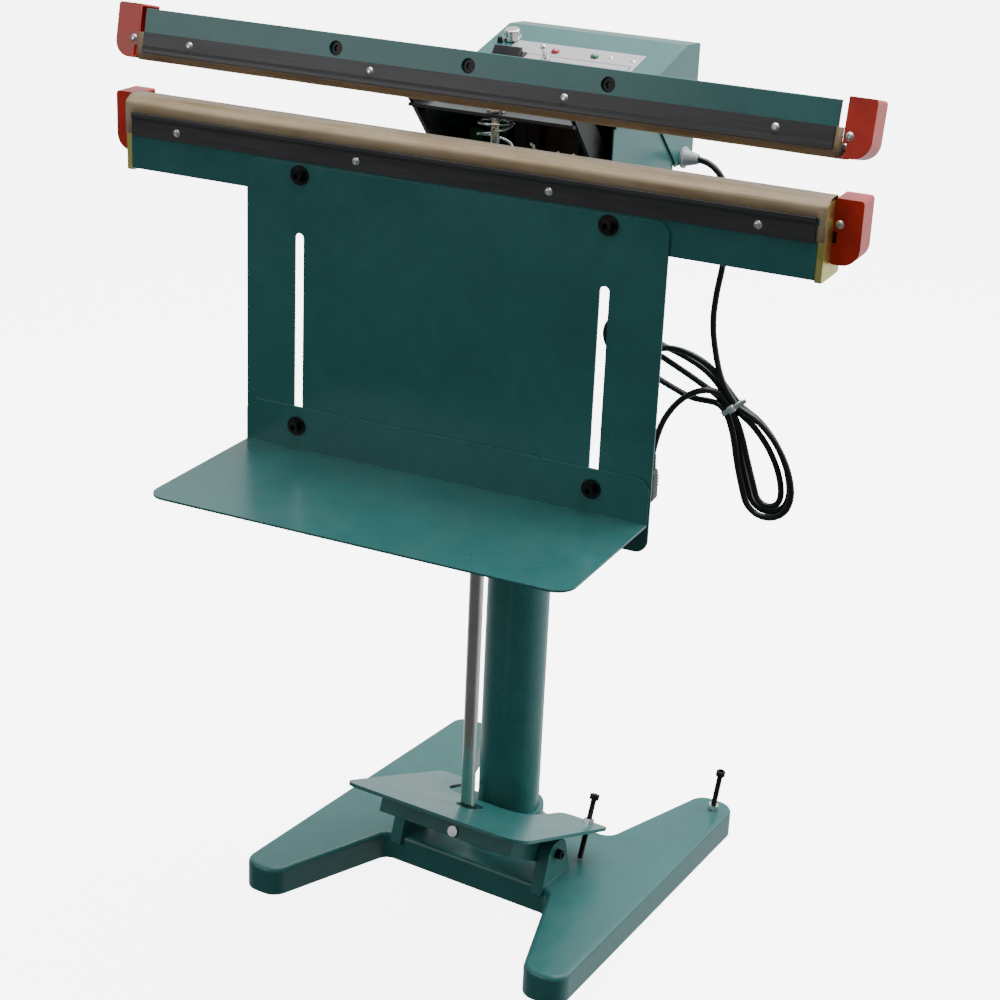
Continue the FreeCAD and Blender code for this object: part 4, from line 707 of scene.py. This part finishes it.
def closingSpring():
    # open coils between two closed end turns, round the rod's stud
    lo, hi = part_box("return_spring")
    low, high = lo.z + spring["wire"], hi.z - spring["wire"]
    centre = Vector(((lo.x + hi.x) / 2, (lo.y + hi.y) / 2, low))
    bm = bmesh.new()
    turnUp = Matrix.Rotation(math.pi / 2, 4, "X")
    ring = bmesh.ops.create_circle(bm, cap_ends=True, segments=12, radius=spring["wire"],
                                   matrix=Matrix.Translation((spring["radius"], 0, 0)) @ turnUp)["verts"]
    edges = {edge for vert in ring for edge in vert.link_edges}
    faces = {face for vert in ring for face in vert.link_faces}
    geom = [*ring, *edges, *faces]
    between = high - low - 2 * spring["closed"]
    for turns, rise in ((1, spring["closed"]), (spring["turns"] - 1, between), (1, spring["closed"])):
        steps = spring["steps"] * turns
        made = bmesh.ops.spin(bm, geom=geom, cent=(0, 0, 0), axis=(0, 0, 1), dvec=(0, 0, rise / steps),
                              angle=2 * math.pi * turns, steps=steps)
        geom = made["geom_last"]
    bmesh.ops.translate(bm, vec=centre, verts=bm.verts)
    piece = newPiece("closing_spring", bm, springWire, "stand", ["return_spring"])
    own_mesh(piece)


cloth = {"half": 336, "clear": 0.25, "ripple": 0.11, "columns": 84, "thick": 0.45}
jaw = {"open": math.radians(12.1), "pivot": (0, -33.5, 759)}
same = 0.001 * mm


def vertsOf(geom):
    return [part for part in geom if isinstance(part, bmesh.types.BMVert)]


def at(vert, spot):
    # whether a vertex lies at y and z
    return abs(vert.co.y - spot[0] * mm) < same and abs(vert.co.z - spot[1] * mm) < same


def sealSheet(name, material, section, rounds, tab, stands, body, place, seed):
    # cloth wrapped over a jaw along x: the section's corners are rounded, then it is rippled a little,
    # and a tab at each end goes on past the first edge, under the clamp strip
    half = cloth["half"] * mm
    bm = bmesh.new()
    chain = [bm.verts.new((-half, y * mm, z * mm)) for y, z in section]
    edges = [bm.edges.new(pair) for pair in zip(chain, chain[1:])]
    made = bmesh.ops.extrude_edge_only(bm, edges=edges)["geom"]
    bmesh.ops.translate(bm, vec=(2 * half, 0, 0), verts=vertsOf(made))
    for spot, radius in zip(section[1:-1], rounds):
        corner = [e for e in bm.edges if all(at(v, spot) for v in e.verts)]
        rounded(bm, corner, radius * mm, 5)
    along = walked(bm, half, section)
    long = [e for e in bm.edges if abs(e.verts[0].co.x - e.verts[1].co.x) > half]
    bmesh.ops.subdivide_edges(bm, edges=long, cuts=cloth["columns"], use_grid_fill=True)
    for x in (-tab["from"] * mm, tab["from"] * mm):
        whole = bm.verts[:] + bm.edges[:] + bm.faces[:]
        bmesh.ops.bisect_plane(bm, geom=whole, plane_co=(x, 0, 0), plane_no=(1, 0, 0))
    uv = bm.loops.layers.uv.new("flat")
    for face in bm.faces:
        for loop in face.loops:
            co = loop.vert.co
            key = min(along, key=lambda spot: (spot[0] - co.y) ** 2 + (spot[1] - co.z) ** 2)
            loop[uv].uv = (co.x, along[key])
    rim = [e for e in bm.edges if len(e.link_faces) == 1 and all(at(v, section[0]) for v in e.verts)]
    endEdges = [e for e in rim if all(abs(v.co.x) > (tab["from"] - 0.05) * mm for v in e.verts)]
    bm.normal_update()
    for v in bm.verts:
        x = v.co.x / half
        wave = 0.5 * math.sin(23 * x + seed) + 0.3 * math.sin(61 * x + 2.1 * seed + 900 * v.co.z)
        wave += 0.2 * math.sin(97 * x - seed)
        v.co += v.normal * wave * cloth["ripple"] * mm
    made = bmesh.ops.extrude_edge_only(bm, edges=endEdges)["geom"]
    tabs = vertsOf(made)
    bmesh.ops.translate(bm, vec=(0, -cloth["clear"] * mm, tab["reach"] * mm), verts=tabs)
    outward = 1 if tab["reach"] < 0 else -1
    for face in {f for v in tabs for f in v.link_faces}:
        for loop in face.loops:
            loop[uv].uv = (loop.vert.co.x, (loop.vert.co.z - section[0][1] * mm) * outward)
    bmesh.ops.transform(bm, matrix=place, verts=bm.verts)
    piece = newPiece(name, bm, material, body, stands)
    thick = piece.modifiers.new("thickness", "SOLIDIFY")
    thick.thickness = cloth["thick"] * mm
    thick.offset = -1
    girth, reach = max(along.values()), abs(tab["reach"]) * mm
    area = 2 * half * girth + 2 * (cloth["half"] - tab["from"]) * mm * reach
    girth + reach


def walked(bm, half, section):
    # how far along the section each of its points lies
    first = Vector((-half, section[0][0] * mm, section[0][1] * mm))
    here = min((v for v in bm.verts if v.co.x < 0), key=lambda v: (v.co - first).length)
    far, along, before = 0.0, {(here.co.y, here.co.z): 0.0}, None
    while True:
        steps = [edge.other_vert(here) for edge in here.link_edges]
        steps = [v for v in steps if abs(v.co.x - here.co.x) < same and v is not before]
        if not steps:
            return along
        far += (steps[0].co - here.co).length
        before, here = here, steps[0]
        along[(here.co.y, here.co.z)] = far


def sealCloths():
    lo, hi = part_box("lower_cloth")
    front, rear, low, top = (value / mm for value in (lo.y, hi.y, lo.z, hi.z))
    section = [(front, low), (front, top - 6), (front + 9, top), (rear, top), (rear, low)]
    tab = {"from": 328.4, "reach": -19, "on": "lower_core"}
    rounds = (2.1, 2.1, 5)
    sealSheet("lower_seal_cloth", clothTan, section, rounds, tab, ["lower_cloth"], "stand", Matrix.Identity(4), 0.7)
    # the upper section is drawn with the jaw closed, then opened about its pivot
    pivot = Vector(jaw["pivot"]) * mm
    opened = Matrix.Rotation(-jaw["open"], 4, "X")
    place = Matrix.Translation(pivot) @ opened @ Matrix.Translation(-pivot)
    front, rear, foot, low, slant = -178.6, -147.4, 802.5, 797.4, 4.2
    section = [(front, foot + 4.5), (front, foot), (front + slant, low), (rear - slant, low), (rear, foot),
               (rear, foot + 6.5)]
    tab = {"from": 329.4, "reach": 15.5, "on": "upper_silicone"}
    rounds = (0.3, 1.6, 1.6, 0.3)
    sealSheet("upper_seal_cloth", clothBrown, section, rounds, tab, ["upper_cloth"], "upper_jaw", place, 2.3)


base = {"turn": math.radians(-5.9), "pedalTilt": math.radians(21.2), "pivot": (0, -55, 58), "stopLow": 30.5}


def onBase():
    return Matrix.Rotation(base["turn"], 4, "Z")


def onPedal():
    pivot = Matrix.Translation(Vector(base["pivot"]) * mm)
    return onBase() @ pivot @ Matrix.Rotation(-base["pedalTilt"], 4, "X")


longScrew = {
    "radius": 3.0,
    "thread": 0.42,
    "pitch": 1.0,
    "headRadius": 5.0,
    "head": 6.0,
    "socket": 2.6,
    "socketDeep": 3,
    "lean": math.radians(7),                # of the levelling screw
    "foot": (157, 165, 0),
    "footClear": 0.9,
    "levelling": 78,
    "stop": (95, 50.5),                     # on the pedal, x and y from its pivot
    "stopTop": 60.4,
}


def threadedScrew(name, stands, body, foot, way, length, place):
    # a black socket screw: rolled thread, chamfered tip, round head with a socket
    s = longScrew
    root = s["radius"] - s["thread"]
    profile = [(0, 0), (root * 0.8, 0), (root, 0.6)]
    turns = int((length - s["head"] - 1.6) / s["pitch"])
    for k in range(turns):
        z = 0.8 + k * s["pitch"]
        profile += [(root, z), (s["radius"], z + s["pitch"] * 0.42), (s["radius"], z + s["pitch"] * 0.58)]
    top, neck = length, length - s["head"]
    profile += [(root, neck - 0.4), (root, neck)]
    profile += [(s["headRadius"] - 0.3, neck), (s["headRadius"], neck + 0.3)]
    profile += [(s["headRadius"], top - 0.7), (s["headRadius"] - 0.7, top)]
    profile += [(s["socket"] + 0.2, top), (s["socket"], top - 0.3)]
    profile += [(s["socket"], top - s["socketDeep"]), (0, top - s["socketDeep"])]
    bm = bmesh.new()
    spot = place @ standing(Vector(foot) * mm, way)
    lathe(bm, [(r * mm, z * mm) for r, z in profile], spot, 24)
    newPiece(name, bm, blackBolt, body, stands)


def longScrews():
    s = longScrew
    way = Vector((math.sin(s["lean"]), 0, math.cos(s["lean"])))
    foot = Vector(s["foot"]) + way * s["footClear"]
    threadedScrew("levelling_screw", ["levelling_bolt"], "stand", foot, way, s["levelling"], onBase())
    # the stop's tip just touches the base when the pedal is up
    x, y = s["stop"]
    tilt = base["pedalTilt"]
    low = (base["stopLow"] - base["pivot"][2] + (s["radius"] + y) * math.sin(tilt)) / math.cos(tilt)
    length = s["stopTop"] - low
    threadedScrew("pedal_stop_screw", ["pedal_stop_bolt"], "pedal", (x, y, low), (0, 0, 1), length, onPedal())


tieBand = leadTie()
plugBody = mainsPlug()
closingSpring()
sealCloths()
longScrews()
print("tie, plug, spring, cloths and screws ready")


view = {
    "azimuth": 24.863,
    "elevation": 21.955,
    "roll": 2.6,
    "lens": 78.07,
    "sensor": 36,
    "place": (0.8202, -1.8251, 1.2098),
}


def viewCamera():
    az, el, roll = (math.radians(view[key]) for key in ("azimuth", "elevation", "roll"))
    back = Vector((math.sin(az) * math.cos(el), -math.cos(az) * math.cos(el), math.sin(el)))
    right = Vector((math.cos(az), math.sin(az), 0))
    up = back.cross(right)
    across = right * math.cos(roll) + up * math.sin(roll)
    upward = up * math.cos(roll) - right * math.sin(roll)
    turn = Matrix((across, upward, back)).transposed().to_4x4()
    data = bpy.data.cameras.new("camera")
    data.lens = view["lens"]
    data.sensor_width = view["sensor"]
    data.clip_end = 60
    camera = bpy.data.objects.new("camera", data)
    camera.matrix_world = Matrix.Translation(Vector(view["place"])) @ turn
    bpy.context.scene.collection.objects.link(camera)
    bpy.context.scene.camera = camera


def softbox(name, place, aim, size, power):
    data = bpy.data.lights.new(name, "AREA")
    data.shape = "RECTANGLE"
    data.size, data.size_y = size
    data.energy = power
    lamp = bpy.data.objects.new(name, data)
    lamp.matrix_world = standing(place, Vector(place) - Vector(aim))
    bpy.context.scene.collection.objects.link(lamp)


def studio():
    softbox("top light", (0.3, 0.5, 2.6), (0, 0, 0.4), (2.6, 2.2), 84)
    softbox("rear right light", (2.2, 1.6, 1.5), (0, 0, 0.5), (1.6, 2.0), 34)
    softbox("front fill", (-1.6, -2.6, 1.6), (0, 0, 0.5), (1.6, 1.6), 19)
    world = bpy.data.worlds.new("studio")
    world.use_nodes = True
    # a dim front and a bright rear and top, as round a product on a sweep
    tree = world.node_tree
    sky = tree.nodes["Background"]
    sky.inputs[0].default_value = (0.95, 0.98, 1.0, 1)
    way = tree.nodes.new("ShaderNodeSeparateXYZ")
    tree.links.new(tree.nodes.new("ShaderNodeTexCoord").outputs["Generated"], way.inputs[0])
    total = tree.nodes.new("ShaderNodeMath")
    tree.links.new(total.outputs[0], sky.inputs[1])
    # rear then top: where the rise starts and ends, and its strength
    for slot, (axis, low, high, strength) in enumerate(((1, -0.35, 0.9, 1.05), (2, 0.0, 1.0, 0.35))):
        rise = tree.nodes.new("ShaderNodeMapRange")
        tree.links.new(way.outputs[axis], rise.inputs[0])
        for socket, value in zip(rise.inputs[1:5], (low, high, 0.06, strength)):
            socket.default_value = value
        tree.links.new(rise.outputs[0], total.inputs[slot])
    bpy.context.scene.world = world


def floorPlane():
    bm = bmesh.new()
    bmesh.ops.create_grid(bm, x_segments=1, y_segments=1, size=14)
    mesh = bpy.data.meshes.new("floor")
    bm.to_mesh(mesh)
    bm.free()
    floor = bpy.data.objects.new("floor", mesh)
    floor.location.z = -0.0005
    bpy.context.scene.collection.objects.link(floor)
    pale = Finish("pale floor", Specular_IOR_Level=0.15)
    drift = pale.spread(pale.noise(3, 2), 0.3, 0.7)
    pale.colour(pale.blend(drift, (0.88, 0.885, 0.89), (0.90, 0.90, 0.90)))
    pale.rough(0.85)
    pale.feed(pale.shader.inputs["Emission Color"], (1.0, 1.0, 1.0))
    pale.feed(pale.shader.inputs["Emission Strength"], 6.0)
    mesh.materials.append(pale.material)
    floor.visible_diffuse = False
    floor.visible_glossy = False


viewCamera()
studio()
floorPlane()
print("camera, light and floor ready")
